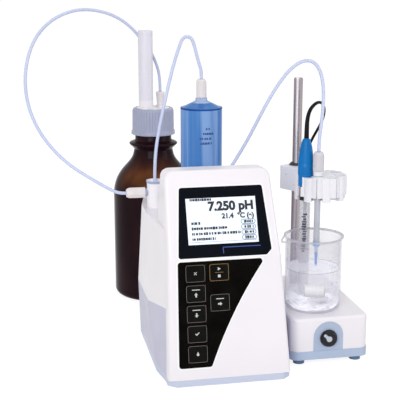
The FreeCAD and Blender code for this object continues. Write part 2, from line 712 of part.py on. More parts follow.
lower_plate = centred_box(s.frame_width, s.frame_depth, s.frame_plate, axis_x, axis_y, motor_top)
upper_plate = centred_box(s.frame_width, s.frame_depth, s.frame_plate, axis_x, axis_y, frame_top - s.frame_plate)
columns = [cylinder(s.column_radius, frame_top - motor_top, axis_x + side * s.column_offset, axis_y, motor_top)
           for side in (-1, 1)]
frame_bores = [cylinder(11 + s.fit_gap, s.frame_plate * 3, axis_x, axis_y, motor_top - 1),
               cylinder(s.sheath_radius - s.sheath_wall * 4, s.frame_plate * 3, axis_x, axis_y,
                        frame_top - s.frame_plate * 2)]
node("drive_frame", cut(fuse(lower_plate, upper_plate, *columns), *frame_bores))

screw_bottom = motor_top - 18
screw_top = s.nut_rest + s.stroke + s.screw_overrun
node("lead_screw", place(turned([
    (0, 0), (s.screw_radius - 1, 0), (s.screw_radius - 1, motor_top + s.frame_plate + 2 - screw_bottom),
    (s.screw_radius, motor_top + s.frame_plate + 3 - screw_bottom),
    (s.screw_radius, screw_top - 2 - screw_bottom), (s.screw_radius - 1.5, screw_top - screw_bottom),
    (0, screw_top - screw_bottom)]), axis_x, axis_y, screw_bottom))

nut_bar = centred_box(s.column_offset * 2 + s.column_radius * 2 + 8, 18, s.nut_flange, axis_x, axis_y, s.nut_rest)
nut_hub = cylinder(9, s.nut_height, axis_x, axis_y, s.nut_rest)
nut_bores = [cylinder(s.screw_radius + s.fit_gap, s.nut_height * 2, axis_x, axis_y, s.nut_rest - 2)]
nut_bores += [cylinder(s.column_radius + s.fit_gap, s.nut_height * 2, axis_x + side * s.column_offset,
                       axis_y, s.nut_rest - 2) for side in (-1, 1)]
node("drive_nut", cut(fuse(nut_bar, nut_hub), *nut_bores))

node("piston_rod", cut(
    cylinder(s.rod_tube, s.piston_rest - nut_top, axis_x, axis_y, nut_top),
    cylinder(s.rod_tube_bore, s.piston_rest - nut_top - 6, axis_x, axis_y, nut_top)))

piston_radius = s.glass_bore - s.piston_gap
groove = piston_radius - s.seal_depth
groove_low = s.piston_length / 2 - s.seal_width / 2
groove_high = s.piston_length / 2 + s.seal_width / 2
node("piston", place(turned([
    (0, 0), (piston_radius, 0), (piston_radius, groove_low), (groove, groove_low), (groove, groove_high),
    (piston_radius, groove_high), (piston_radius, s.piston_length - 1.5),
    (piston_radius - 2, s.piston_length), (0, s.piston_length)]), axis_x, axis_y, s.piston_rest))
seal_radius = s.glass_bore - s.seal_squeeze
node("piston_seal", place(turned([
    (groove, groove_low), (seal_radius - 0.5, groove_low), (seal_radius, groove_low + 0.8),
    (seal_radius, groove_high - 0.8), (seal_radius - 0.5, groove_high), (groove, groove_high)]),
    axis_x, axis_y, s.piston_rest))

# Dosing unit on the deck: socket ring, glass cylinder, coloured sheath
spigot = s.sheath_radius
node("cylinder_socket", place(turned([
    (s.glass_bore + 1.4, -s.wall), (spigot, -s.wall), (spigot, 0), (s.socket_ring, 0),
    (s.socket_ring, s.ring_height - 2), (s.socket_ring - 2, s.ring_height),
    (s.sheath_radius + s.fit_gap, s.ring_height), (s.sheath_radius + s.fit_gap, s.sheath_seat - s.deck_height),
    (s.glass_radius + s.fit_gap, s.sheath_seat - s.deck_height), (s.glass_radius + s.fit_gap, s.glass_lift),
    (s.glass_bore + 1.4, s.glass_lift)]), axis_x, axis_y, s.deck_height))

glass_bottom = s.deck_height + s.glass_lift
glass_top = s.piston_rest + s.piston_length + s.stroke + s.stroke_reserve + s.glass_head
sheath_shoulder = glass_top + s.sheath_gap
sheath_top = sheath_shoulder + s.sheath_cone
glass_high = glass_top - glass_bottom
node("cylinder_glass", place(turned([
    (s.glass_bore, 0), (s.glass_radius, 0), (s.glass_radius, glass_high - s.glass_head),
    (s.glass_radius - s.glass_head, glass_high), (s.glass_neck, glass_high),
    (s.glass_neck, sheath_top - 1 - glass_bottom), (s.liquid_bore, sheath_top - 1 - glass_bottom),
    (s.liquid_bore, glass_high - s.glass_head), (s.glass_bore, glass_high - s.glass_head)]),
    axis_x, axis_y, glass_bottom))

shoulder = sheath_shoulder - s.sheath_seat
crown = sheath_top - s.sheath_seat
inside = s.sheath_radius - s.sheath_wall
node("uv_sheath", place(turned([
    (inside, 0), (s.sheath_radius, 0), (s.sheath_radius, shoulder), (s.sheath_neck, crown),
    (s.sheath_neck, crown + s.sheath_neck_height), (s.glass_neck + s.fit_gap, crown + s.sheath_neck_height),
    (s.glass_neck + s.fit_gap, crown - 1),
    (inside, shoulder - 2)]), axis_x, axis_y, s.sheath_seat))

# Three-way valve with its plug and gear motor
valve_rise = s.valve_top - s.deck_height
valve = place(turned([
    (s.plug_radius + s.fit_gap / 2, 0), (s.valve_radius, 0), (s.valve_radius, valve_rise - 4),
    (s.valve_lip, valve_rise), (s.valve_lip - 1.2, valve_rise), (s.valve_radius - 2.6, valve_rise - s.valve_cup),
    (1.2, valve_rise - s.valve_cup), (1.2, s.plug_top + 0.3 - s.deck_height),
    (s.plug_radius + s.fit_gap / 2, s.plug_top + 0.3 - s.deck_height)]), s.valve_x, s.valve_y, s.deck_height)
PORTS = {"reagent": Size(180), "dosing": -s.port_turn}


def lying(obj, x, y, z, turn):
    """Lays a piece down so that its own Z axis points along a compass turn."""
    flat = FreeCAD.Rotation(FreeCAD.Vector(0, 0, 1), float(turn))
    obj.Placement.Rotation = flat.multiply(FreeCAD.Rotation(FreeCAD.Vector(0, 1, 0), 90))
    return place(obj, x, y, z)


def out_of_valve(obj, turn, distance):
    """Lays a piece along a valve port, its local Z pointing outwards."""
    x, y = s.valve_x + distance * cosine(turn), s.valve_y + distance * sine(turn)
    return lying(obj, x, y, s.port_height, turn)


port_start = s.valve_radius - 0.6
collars = [out_of_valve(cylinder(s.collar_radius, s.collar_length + 0.6), turn, port_start)
           for turn in PORTS.values()]
port_bores = [out_of_valve(cylinder(1.2, s.collar_length + 5), turn, s.plug_radius - 0.5)
              for turn in PORTS.values()]
node("valve_body", cut(fuse(valve, *collars), *port_bores))

plug_bottom = s.deck_height - 9
node("valve_plug", place(turned([
    (0, 0), (s.plug_shaft, 0), (s.plug_shaft, s.deck_height + 0.3 - plug_bottom),
    (s.plug_radius, s.deck_height + 0.3 - plug_bottom), (s.plug_radius, s.plug_top - plug_bottom),
    (0, s.plug_top - plug_bottom)]), s.valve_x, s.valve_y, plug_bottom))
gear_motor = cylinder(s.gear_motor_radius, s.gear_motor_height, s.valve_x, s.valve_y,
                      s.deck_height - s.wall - s.gear_motor_height)
gear_bore = cylinder(s.plug_shaft + s.fit_gap, 20, s.valve_x, s.valve_y, plug_bottom - 0.3)
node("valve_motor", cut(gear_motor, gear_bore))


def union_nut():
    """A ribbed hose union, standing on the origin, open along its axis."""
    length, radius = s.union_length, s.union_radius
    body = turned([(s.union_bore, 0), (radius - 0.6, 0), (radius, 1), (radius, length - 2),
                   (radius - 1.2, length), (s.union_bore, length)])
    rib = body.newObject("PartDesign::Pad", "Rib")
    rib.Profile = outline(body, "XY_Plane", [
        (radius - 0.6, -0.35), (radius + s.union_rib, -0.35), (radius + s.union_rib, 0.35),
        (radius - 0.6, 0.35)], "RibOutline")
    bind(rib, Length=length - 3)
    body.Tip = rib
    doc.recompute()
    ring = body.newObject("PartDesign::PolarPattern", "Ribs")
    ring.Originals = [rib]
    ring.Axis = (next(f for f in body.Origin.OriginFeatures if f.Role == "Z_Axis"), [""])
    ring.Angle = 360
    bind(ring, Occurrences=s.ribs)
    body.Tip = ring
    return body


port_reach = port_start + s.collar_length + 0.6
node("tube_nuts", group(
    place(union_nut(), axis_x, axis_y, sheath_top + s.sheath_neck_height),
    *[out_of_valve(union_nut(), turn, port_reach) for turn in PORTS.values()]))

# Reagent bottle with cap, insert, drying tube and suction line
neck, neck_in = s.bottle_neck, s.bottle_neck - s.bottle_neck_wall
barrel, barrel_in = s.bottle_radius, s.bottle_radius - s.bottle_wall
node("bottle_glass", place(turned([
    (0, 0), (barrel, 0), (barrel, s.bottle_shoulder), (neck + 3, s.bottle_neck_base), (neck, s.bottle_neck_base + 2),
    (neck, s.pour_ring_z), (s.pour_ring, s.pour_ring_z + 1), (s.pour_ring, s.pour_ring_z + s.pour_ring_height - 1),
    (neck, s.pour_ring_z + s.pour_ring_height), (neck, s.bottle_mouth), (neck_in, s.bottle_mouth),
    (neck_in, s.bottle_neck_base - 1), (barrel_in, s.bottle_shoulder - 1.5), (barrel_in, s.bottle_floor),
    (0, s.bottle_floor)],
    [(8, (barrel, 0)), (30, (barrel, s.bottle_shoulder)), (28, (barrel_in, s.bottle_shoulder - 1.5))]),
    s.bottle_x, s.bottle_y))

boss_top = s.cap_top
disc_top = s.bottle_mouth + s.insert_disc
cap_in = neck + s.cap_gap
cap = turned([
    (cap_in, 0), (s.cap_flange, 0), (s.cap_flange, s.cap_flange_height - 1),
    (s.cap_radius, s.cap_flange_height), (s.cap_radius, s.cap_top - s.cap_bottom - 1.5),
    (s.cap_radius - 1.5, s.cap_top - s.cap_bottom), (s.insert_boss + s.cap_gap, s.cap_top - s.cap_bottom),
    (s.insert_boss + s.cap_gap, disc_top + s.cap_gap - s.cap_bottom), (cap_in, disc_top + s.cap_gap - s.cap_bottom)])
cap_rib = cap.newObject("PartDesign::Pad", "Rib")
cap_rib.Profile = outline(cap, "XY_Plane", [
    (s.cap_radius - 0.6, -0.7), (s.cap_radius + 0.7, -0.5), (s.cap_radius + 0.7, 0.5), (s.cap_radius - 0.6, 0.7)],
    "RibOutline")
bind(cap_rib, Length=s.cap_top - s.cap_bottom - 3)
cap.Tip = cap_rib
doc.recompute()
cap_ribs = cap.newObject("PartDesign::PolarPattern", "Ribs")
cap_ribs.Originals = [cap_rib]
cap_ribs.Axis = (next(f for f in cap.Origin.OriginFeatures if f.Role == "Z_Axis"), [""])
cap_ribs.Angle = 360
bind(cap_ribs, Occurrences=s.ribs * 2)
cap.Tip = cap_ribs
node("bottle_cap", place(cap, s.bottle_x, s.bottle_y, s.cap_bottom))

insert = place(turned([
    (0, 0), (neck, 0), (neck, s.insert_disc), (s.insert_boss, s.insert_disc),
    (s.insert_boss, boss_top - s.bottle_mouth), (0, boss_top - s.bottle_mouth)]),
    s.bottle_x, s.bottle_y, s.bottle_mouth)
insert_holes = [cylinder(s.drying_spigot + s.fit_gap, 20, s.drying_x, s.drying_y, s.bottle_mouth - 5),
                cylinder(s.dip_radius + s.fit_gap / 2, 20, s.connector_x, s.connector_y, s.bottle_mouth - 5)]
node("cap_insert", cut(insert, *insert_holes))

tube_rise = s.drying_top - s.drying_bottom
tube_in = s.drying_radius - s.drying_wall
node("drying_tube", place(turned([
    (1.5, -6), (s.drying_spigot, -6), (s.drying_spigot, 0), (s.drying_radius - 1, 0), (s.drying_radius, 1),
    (s.drying_radius, tube_rise - 4), (s.drying_radius - 2.5, tube_rise), (2, tube_rise), (2, tube_rise - 1.5),
    (tube_in, tube_rise - 5), (tube_in, 2), (1.5, 2)]), s.drying_x, s.drying_y, s.drying_bottom))

cone_rise = s.connector_top - boss_top
node("suction_connector", place(turned([
    (1.2, 0), (s.connector_wide, 0), (s.connector_wide, 2), (s.connector_narrow, 3),
    (s.connector_narrow, 6), (s.connector_wide, cone_rise - 1), (s.connector_wide - 1, cone_rise), (1.2, cone_rise)]),
    s.connector_x, s.connector_y, boss_top))
node("dip_tube", cut(
    cylinder(s.dip_radius, boss_top - s.dip_bottom, s.connector_x, s.connector_y, s.dip_bottom),
    cylinder(1.2, 400, s.connector_x, s.connector_y, s.dip_bottom - 5)))

# Magnetic stirrer: cover, base with its arch panel, feet, knob, motor, magnet and stir bar
stirrer_mid_y = s.stirrer_front + s.stirrer_depth / 2
cover_rise = s.stirrer_top - s.stirrer_split


def upright_block(width, depth, height, corner):
    """A block standing on the XY plane about the origin, with rounded upright edges."""
    body = padded("XY_Plane", rectangle(width, depth), height)
    rounded(body, body.Tip, corner, lambda edge: upright(edge, (0, 0, 1)))
    return body


cover = upright_block(s.stirrer_width, s.stirrer_depth, cover_rise, s.stirrer_corner)
rounded(cover, cover.Tip, 3, lambda edge: all(
    abs(v.Point.z - float(cover_rise)) < 1e-6 for v in edge.Vertexes))
pocketed(cover, "XY_Plane", rectangle(s.stirrer_width - s.stirrer_wall * 2, s.stirrer_depth - s.stirrer_wall * 2),
         cover_rise - s.stirrer_wall)
arch_x = s.arch_x - s.stirrer_x
arch_z = s.arch_centre - s.stirrer_split
arch_half = s.arch_width / 2


def arch_points(x, low, centre, gap=0):
    """A doorway outline: upright sides with a half-round head."""
    half = arch_half + gap
    return [(x - half, low), (x + half, low), (x + half, centre, -half - 0.0001), (x - half, centre)]


place(cover, s.stirrer_x, stirrer_mid_y, s.stirrer_split)
arch_cutter = place(padded("XZ_Plane", arch_points(arch_x, -2, arch_z, s.panel_gap), s.stirrer_wall + 1,
                           reverse=True), s.stirrer_x, s.stirrer_front - 0.5, s.stirrer_split)
post_hole = cylinder(s.post_radius + s.fit_gap, 60, s.post_x, s.post_y, s.stirrer_split)
node("stirrer_cover", cut(cover, arch_cutter, post_hole))

slab = place(upright_block(s.stirrer_width + s.base_lip * 2, s.stirrer_depth + s.base_lip * 2,
                           s.stirrer_split - s.foot_pad_height, s.stirrer_corner + s.base_lip),
             s.stirrer_x, stirrer_mid_y, s.foot_pad_height)
arch_panel = place(padded("XZ_Plane", arch_points(arch_x, -1, arch_z), s.arch_depth, reverse=True),
                   s.stirrer_x, s.stirrer_front, s.stirrer_split)
knob_bore = cylinder(s.knob_shaft + s.fit_gap, 20, s.arch_x, s.stirrer_front - 5, s.knob_height, (1, 0, 0), -90)
node("stirrer_base", cut(fuse(slab, arch_panel), knob_bore))

foot_x = s.stirrer_width / 2 - s.foot_inset_x
node("stirrer_feet", group(*[
    cylinder(s.foot_pad_radius, s.foot_pad_height, s.stirrer_x + side * foot_x, y)
    for side in (-1, 1)
    for y in (s.stirrer_front + s.foot_inset_y, s.stirrer_front + s.stirrer_depth - s.foot_inset_y)]))

knob = turned([
    (0, -8), (s.knob_shaft, -8), (s.knob_shaft, 0.3), (s.knob_radius, 0.3), (s.knob_radius, 2),
    (s.knob_radius - 0.8, s.knob_length - 1), (s.knob_radius - 1.8, s.knob_length), (0, s.knob_length)])
ridge = knob.newObject("PartDesign::Pad", "Pointer")
ridge.Profile = outline(knob, "XY_Plane", [
    (-0.8, 0), (0.8, 0), (0.8, s.knob_radius - 2), (-0.8, s.knob_radius - 2)], "PointerOutline")
bind(ridge, Length=s.knob_length + 0.8)
knob.Tip = ridge
node("stirrer_knob", place(knob, s.arch_x, s.stirrer_front, s.knob_height, (1, 0, 0), 90))

stir_can = cylinder(s.stir_motor_radius, s.stir_motor_top - s.stirrer_split, s.plate_x, s.plate_y, s.stirrer_split)
stir_hole = cylinder(2 + s.fit_gap, 40, s.plate_x, s.plate_y, s.stir_motor_top - 12)
node("stir_motor", cut(stir_can, stir_hole))
node("magnet_rotor", fuse(
    centred_box(s.magnet_length, s.magnet_width, s.magnet_height, s.plate_x, s.plate_y, s.magnet_bottom),
    cylinder(2, s.magnet_bottom - s.stir_motor_top + 10, s.plate_x, s.plate_y, s.stir_motor_top - 10),
    cylinder(6, 2, s.plate_x, s.plate_y, s.magnet_bottom - 2)))

bar_half = s.bar_length / 2
bar = turned([
    (0, -bar_half), (s.bar_radius - 1, -bar_half), (s.bar_radius, 1 - bar_half), (s.bar_radius, -0.8),
    (s.bar_radius + 0.5, 0), (s.bar_radius, 0.8), (s.bar_radius, bar_half - 1), (s.bar_radius - 1, bar_half),
    (0, bar_half)])
bar_z = s.stirrer_top + s.beaker_floor + s.bar_radius + 0.5 + 0.2
node("stir_bar", place(bar, s.plate_x, s.plate_y, bar_z, (0, 1, 0), 90))

# Stand: post, sliding collar, swivelling holder with its clips
node("stand_rod", place(turned([
    (0, 0), (s.post_radius, 0), (s.post_radius, s.post_top - s.stirrer_split - 1),
    (s.post_radius - 1, s.post_top - s.stirrer_split), (0, s.post_top - s.stirrer_split)]),
    s.post_x, s.post_y, s.stirrer_split))

head_rise = s.head_top - s.head_bottom
collar_in = s.post_radius + s.fit_gap / 2
node("clamp_collar", place(turned([
    (collar_in, -2), (s.collar_rim, -2), (s.collar_rim, -s.panel_gap), (s.collar_outer, -s.panel_gap),
    (s.collar_outer, head_rise + s.panel_gap), (s.collar_rim, head_rise + s.panel_gap),
    (s.collar_rim - 2, head_rise + s.collar_rise), (collar_in, head_rise + s.collar_rise)]),
    s.post_x, s.post_y, s.head_bottom))

# The arm is laid out along its own left face, then turned into place
arm = padded("XY_Plane", [
    (0, 0), (0, -s.arm_length), (s.arm_front_width, -s.arm_length), (s.arm_width, 0)], head_rise)
rounded(arm, arm.Tip, s.arm_corner, lambda edge: upright(edge, (0, 0, 1)))
place(arm, s.arm_x, s.arm_y, s.head_bottom, (0, 0, 1), s.arm_turn)
LOBES = range(5)


def around(angle, radius):
    """A point round the middle of the holder's rosette."""
    return s.rosette_x + radius * cosine(angle), s.rosette_y + radius * sine(angle)


def radial_box(angle, start, width, low, height):
    """An upright slot that runs outwards from the rosette at an angle."""
    x, y = around(angle, start)
    return box(s.lobe_radius * 2, width, height, x + width / 2 * sine(angle), y - width / 2 * cosine(angle),
               low, (0, 0, 1), angle)


head_solids = [arm, cylinder(s.hub_radius, head_rise, s.rosette_x, s.rosette_y, s.head_bottom)]
head_cuts = [cylinder(s.collar_outer + s.fit_gap, head_rise + 2, s.post_x, s.post_y, s.head_bottom - 1)]
for index in LOBES:
    angle = s.first_lobe + s.lobe_step * index
    x, y = around(angle, s.rosette_pitch)
    head_solids.append(cylinder(s.lobe_radius, head_rise, x, y, s.head_bottom))
    head_cuts.append(cylinder(s.lobe_bore, head_rise + 2, x, y, s.head_bottom - 1))
    slot = s.slot_width if index else s.cable_slot
    head_cuts.append(radial_box(angle, s.rosette_pitch, slot, s.head_bottom - 1, head_rise + 2))
    head_cuts.append(radial_box(angle, s.rosette_pitch, s.notch_width, s.head_bottom - 1, s.notch_height + 1))
for index in range(6):
    x, y = around(s.first_lobe + s.lobe_step * (index - 0.5), s.pier_pitch)
    head_solids.append(cylinder(s.pier_radius, head_rise, x, y, s.head_bottom))
lobe_x, lobe_y = around(s.first_lobe, s.rosette_pitch)
head_cuts.append(cylinder(s.lobe_cup, s.cup_depth + 1, lobe_x, lobe_y, s.head_top - s.cup_depth))
head_cuts.append(box(s.lobe_radius, 24, s.cup_depth + 1,
                     lobe_x + 2 * cosine(s.first_lobe) + 20 * sine(s.first_lobe),
                     lobe_y + 2 * sine(s.first_lobe) - 20 * cosine(s.first_lobe),
                     s.head_top - s.cup_depth, (0, 0, 1), s.first_lobe))

# Clamping knob, square to the arm's right flank
flank_lean = math.degrees(math.atan2(float(s.arm_width - s.arm_front_width), float(s.arm_length)))
flank_across = s.arm_width - (s.arm_width - s.arm_front_width) * s.clamp_knob_back / s.arm_length
flank_x = s.arm_x + flank_across * cosine(s.arm_turn) + s.clamp_knob_back * sine(s.arm_turn)
flank_y = s.arm_y + flank_across * sine(s.arm_turn) - s.clamp_knob_back * cosine(s.arm_turn)


def on_flank(obj):
    return lying(obj, flank_x, flank_y, s.clamp_knob_height, float(s.arm_turn) - flank_lean)


knob_seat = turned([
    (0, -s.clamp_knob_shaft * 1.5), (s.clamp_knob_shaft + s.fit_gap, -s.clamp_knob_shaft * 1.5),
    (s.clamp_knob_shaft + s.fit_gap, 1), (0, 1)])
node("holder_head", cut(fuse(*head_solids), *head_cuts, on_flank(knob_seat)))
knob_end = s.clamp_knob_length
node("clamp_knob", on_flank(turned([
    (0, -s.clamp_knob_shaft), (s.clamp_knob_shaft, -s.clamp_knob_shaft), (s.clamp_knob_shaft, s.panel_gap),
    (s.clamp_knob_radius, s.panel_gap), (s.clamp_knob_radius, knob_end - 0.8),
    (s.clamp_knob_radius - 0.8, knob_end), (0, knob_end)])))

# Electrode in the first clip, dosing tip in the second
seat_z = s.head_top - s.cup_depth
shaft_rise = seat_z - s.electrode_bottom
node("electrode_shaft", place(turned([
    (0, 0), (2.5, 0), (s.electrode_radius - 1, 1), (s.electrode_radius, 4), (s.electrode_radius, shaft_rise),
    (s.electrode_radius - 1.2, shaft_rise), (s.electrode_radius - 1.2, 6), (0, 4)]),
    lobe_x, lobe_y, s.electrode_bottom))
cap_r, cap_high = s.electrode_cap_radius, s.electrode_cap_length
node("electrode_cap", place(turned([
    (0, 0), (cap_r - 1, 0), (cap_r, 1), (cap_r, cap_high * 0.3, -200),
    (s.electrode_cap_shoulder, cap_high - 6, -9), (s.electrode_cap_neck, cap_high), (0, cap_high)]),
    lobe_x, lobe_y, seat_z))

tip_x, tip_y = around(s.first_lobe + s.lobe_step, s.rosette_pitch)
ring_low = s.tip_ring_bottom - s.tip_bottom
ring_high = ring_low + s.tip_ring_height
seat_low = s.head_bottom + s.notch_height + 1 - s.tip_bottom
seat_high = s.head_top - s.tip_bottom
tip_high = s.tip_shoulder - s.tip_bottom
node("dosing_tip", place(turned([
    (0.6, 0), (s.tip_nozzle, 0), (s.tip_nozzle + 0.6, ring_low - 2), (s.tip_ring - 0.6, ring_low - 1),
    (s.tip_ring, ring_low), (s.tip_ring, ring_high), (s.tip_radius, ring_high), (s.tip_radius, seat_low),
    (s.tip_adapter, seat_low), (s.tip_adapter, seat_high), (s.tip_flange, seat_high),
    (s.tip_flange, seat_high + 1.2), (s.tip_collar, seat_high + 1.6), (s.tip_collar, tip_high),
    (0.6, tip_high)]), tip_x, tip_y, s.tip_bottom))
node("tip_nut", place(union_nut(), tip_x, tip_y, s.tip_shoulder))

# Beaker on the stirrer plate
glass_in = s.beaker_radius - s.beaker_wall
rim_out = s.beaker_radius + s.beaker_rim
node("beaker", place(turned([
    (0, 0), (s.beaker_radius, 0), (s.beaker_radius, s.beaker_height - 4), (rim_out, s.beaker_height - 1),
    (rim_out, s.beaker_height), (rim_out - s.beaker_wall, s.beaker_height), (glass_in, s.beaker_height - 4),
    (glass_in, s.beaker_floor), (0, s.beaker_floor)],
    [(s.beaker_heel, (s.beaker_radius, 0)), (s.beaker_heel - s.beaker_wall, (glass_in, s.beaker_floor))]),
    s.beaker_x, s.beaker_y, s.stirrer_top))

# Hoses and the electrode's cable: straight runs joined by tangent arcs


def cord_path(points):
    """Edges along a route; each corner becomes an arc as large as its two runs allow."""
    corners = [FreeCAD.Vector(*map(float, point)) for point in points]
    edges, radii, start = [], [], corners[0]
    for before, corner, after in zip(corners, corners[1:], corners[2:]):
        into, away = corner - before, after - corner
        trim = 0.45 * min(into.Length, away.Length)
        half_turn = into.getAngle(away) / 2
        radius = trim / math.tan(half_turn)
        into.normalize()
        away.normalize()
        arc_start, arc_end = corner - into * trim, corner + away * trim
        inward = (away - into).normalize()
        middle = corner + inward * (radius / math.cos(half_turn) - radius)
        edges.append(Part.LineSegment(start, arc_start).toShape())
        edges.append(Part.Arc(arc_start, middle, arc_end).toShape())
        radii.append(radius)
        start = arc_end
    edges.append(Part.LineSegment(start, corners[-1]).toShape())
    return Part.Wire(edges), radii


def cord(label, points, radius):
    """A round cord along a route."""
    path, radii = cord_path(points)
    start, towards = (FreeCAD.Vector(*map(float, point)) for point in points[:2])
    section = Part.Wire(Part.Circle(start, towards - start, float(radius)).toShape())
    shape = path.makePipeShell([section], True, True)
    expected = math.pi * float(radius) ** 2 * path.Length
    print(f"{label}: {path.Length:.0f} mm long, volume {shape.Volume / expected:.4f} of section times length,"
          f" arc radii {min(radii):.0f} to {max(radii):.0f} mm")
    return node(label, shape_feature(shape))


def port_end(turn, beyond=0):
    """Where the hose leaves the union on a valve port, or a point further out."""
    reach = port_reach + s.union_length + beyond
    return s.valve_x + reach * cosine(turn), s.valve_y + reach * sine(turn), s.port_height


valve_floor = s.valve_top - s.valve_cup
cylinder_end = sheath_top + s.sheath_neck_height + s.union_length
tip_end = s.tip_shoulder + s.union_length
cap_end = seat_z + cap_high
plug_start = panel_y + s.panel_plate + s.socket_flange
plug_end = plug_start + s.cable_plug_length
cord("suction_tube", [
    (s.connector_x, s.connector_y, s.connector_top), (s.connector_x, s.connector_y, s.connector_top + 14),
    (-22, 314.5, 288), (-30, 314.5, 306), (-42, 314.5, 322), (-55, 311, 337), (-72, 304, 349),
    (-92, 296, 356.5), (-115, 285, 359.5), (-137, 272, 355.5), (-157, 257, 345.5), (-173, 241, 329),
    (-183, 224, 307), (-187, 208, 282), (-184, 194, 256), (-174.5, 181, 233), (-160, 170, 213),
    (-142, 161, 196.5), (-124, 155, 185), (-108.5, 151.8, 175.5), (-97.5, 150.3, 169.2),
    port_end(PORTS["reagent"], 6),
    port_end(PORTS["reagent"])], s.hose_radius)
cord("transfer_tube", [
    (s.valve_x, s.valve_y, valve_floor), (s.valve_x, s.valve_y, valve_floor + 18), (-50, 152, 215),
    (-45, 154, 241), (-38.5, 156, 268), (-32, 158.5, 293), (-26, 160.5, 311.5), (-21, 161.4, 324),
    (-15.5, 162.2, 332), (-10.5, 162.8, 332), (-6.5, 163.3, 324), (-3, 164, 312), (0.8, axis_y, 303),
    (axis_x, axis_y, cylinder_end + 9), (axis_x, axis_y, cylinder_end)], s.hose_radius)
cord("dosing_tube", [
    port_end(PORTS["dosing"]), port_end(PORTS["dosing"], 10), (-7, 120, 169), (6, 118.5, 175.5),
    (18, 120.5, 185.5), (28, 123, 197.5), (36.5, 124, 210.5), (44.5, 121.5, 225), (53, 117, 244),
    (62, 111.5, 264.5), (71.5, 107, 283), (81.5, 103, 298.5), (91.5, 99.5, 308.5), (101.5, 96.8, 312.3),
    (109.8, 94.8, 309.5), (115.2, 93, 301), (118, 91.2, 288.5), (118.4, 89.5, 274), (117, 87, 258.5),
    (114.3, 83.2, 243.5),
    (tip_x, tip_y, tip_end + 14), (tip_x, tip_y, tip_end)], s.hose_radius)
cord("electrode_cable", [
    (lobe_x, lobe_y, cap_end), (lobe_x, lobe_y, cap_end + 9), (102.5, 94, 250), (106, 98, 259),
    (112.2, 101.6, 265), (119, 104.8, 267.2), (124.8, 108.2, 263.8), (127.6, 112, 255), (126, 115.5, 244),
    (121, 120, 232), (117.5, 125, 222), (117, 133, 212.5), (119, 144, 205.5), (121.5, 156, 202),
    (121.5, 168, 198), (119, 178, 188), (117, 183, 173), (116, 184, 152), (116.5, 185.5, 126),
    (118, 189, 98), (118.5, 192, 70), (117.5, 194.5, 44), (114.5, 198, 21), (106, 204, 7), (93, 213, 1.8),
    (82, 228, 1.7), (82.5, 248, 1.6), (96, 264, 1.7), (114, 275, 1.6), (125, 292, 1.7), (121, 313, 1.6),
    (104, 328, 1.7), (82, 331, 1.6), (60, 325, 2.4), (44, 314, 9), (33, 303, 22), (26, 295, 40),
    (s.socket_pitch, plug_end + 16, s.socket_height), (s.socket_pitch, plug_end, s.socket_height)],
    s.cable_radius)
node("cable_plug", place(turned([
    (0, -4), (3, -4), (3, 0), (s.cable_plug_radius - 0.5, 0), (s.cable_plug_radius, 1), (s.cable_plug_radius, 10),
    (s.cable_plug_radius - 1, 11), (s.cable_plug_radius - 1.5, 17), (s.cable_radius + 1, s.cable_plug_length - 2),
    (s.cable_radius + 0.5, s.cable_plug_length), (0, s.cable_plug_length)]),
    s.socket_pitch, plug_start, s.socket_height, (1, 0, 0), -90))

# Checks, then one file for each sub-part
doc.recompute()
for obj in doc.Objects:
    if {"Invalid", "Error"} & set(obj.State):
        raise RuntimeError(f"{obj.Name} ({obj.Label}) was not built: {obj.State}")
for label, obj in nodes.items():
    if obj.Shape.isNull() or not obj.Shape.isValid():
        raise RuntimeError(f"{label} has no valid shape")

os.makedirs("parts", exist_ok=True)
for label, obj in nodes.items():
    obj.Shape.exportStep(f"parts/{label}.step")
print(len(nodes), "sub-parts")
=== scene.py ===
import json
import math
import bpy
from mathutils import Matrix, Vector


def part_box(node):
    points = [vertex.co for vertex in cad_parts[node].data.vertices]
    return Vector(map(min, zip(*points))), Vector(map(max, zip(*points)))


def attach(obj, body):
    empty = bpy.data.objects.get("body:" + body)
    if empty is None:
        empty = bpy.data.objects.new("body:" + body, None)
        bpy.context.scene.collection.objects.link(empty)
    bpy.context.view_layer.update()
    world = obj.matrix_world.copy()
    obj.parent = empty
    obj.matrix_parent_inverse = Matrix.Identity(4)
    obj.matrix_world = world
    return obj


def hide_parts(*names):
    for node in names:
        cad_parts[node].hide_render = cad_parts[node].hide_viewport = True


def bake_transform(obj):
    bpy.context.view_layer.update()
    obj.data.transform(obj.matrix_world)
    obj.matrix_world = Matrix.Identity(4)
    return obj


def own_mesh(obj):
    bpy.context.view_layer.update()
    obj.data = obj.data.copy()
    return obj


bl_info = {
    "name": "Automatic titrator",
    "version": (1, 0, 0),
    "blender": (4, 5, 0),
    "location": "3D View > Sidebar > Titrator",
    "description": "Dresses the titration set: finishes, glassware, display, hoses and studio",
    "category": "Object",
}

import bpy
import numpy as np
from bpy.props import FloatProperty, FloatVectorProperty, IntProperty, PointerProperty
from mathutils import Vector

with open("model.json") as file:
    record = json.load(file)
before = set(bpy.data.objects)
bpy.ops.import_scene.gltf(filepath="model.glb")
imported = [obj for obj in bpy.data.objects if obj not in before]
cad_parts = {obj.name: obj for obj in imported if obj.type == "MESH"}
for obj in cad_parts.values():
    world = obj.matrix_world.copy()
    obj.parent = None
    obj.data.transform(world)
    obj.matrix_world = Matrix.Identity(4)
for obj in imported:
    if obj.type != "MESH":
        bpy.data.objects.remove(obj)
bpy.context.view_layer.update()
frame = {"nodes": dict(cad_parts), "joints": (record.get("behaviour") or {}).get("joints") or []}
# A millimetre, in the frame's metres
MM = 0.001


# Places, read from the frame

def corners(node):
    """Lowest and highest corner of a node."""
    low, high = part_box(node)
    return np.array(low), np.array(high)


def foot_of(node):
    """Height of a node's lowest point."""
    return corners(node)[0][2]


def top_of(node):
    """Height of a node's highest point."""
    return corners(node)[1][2]


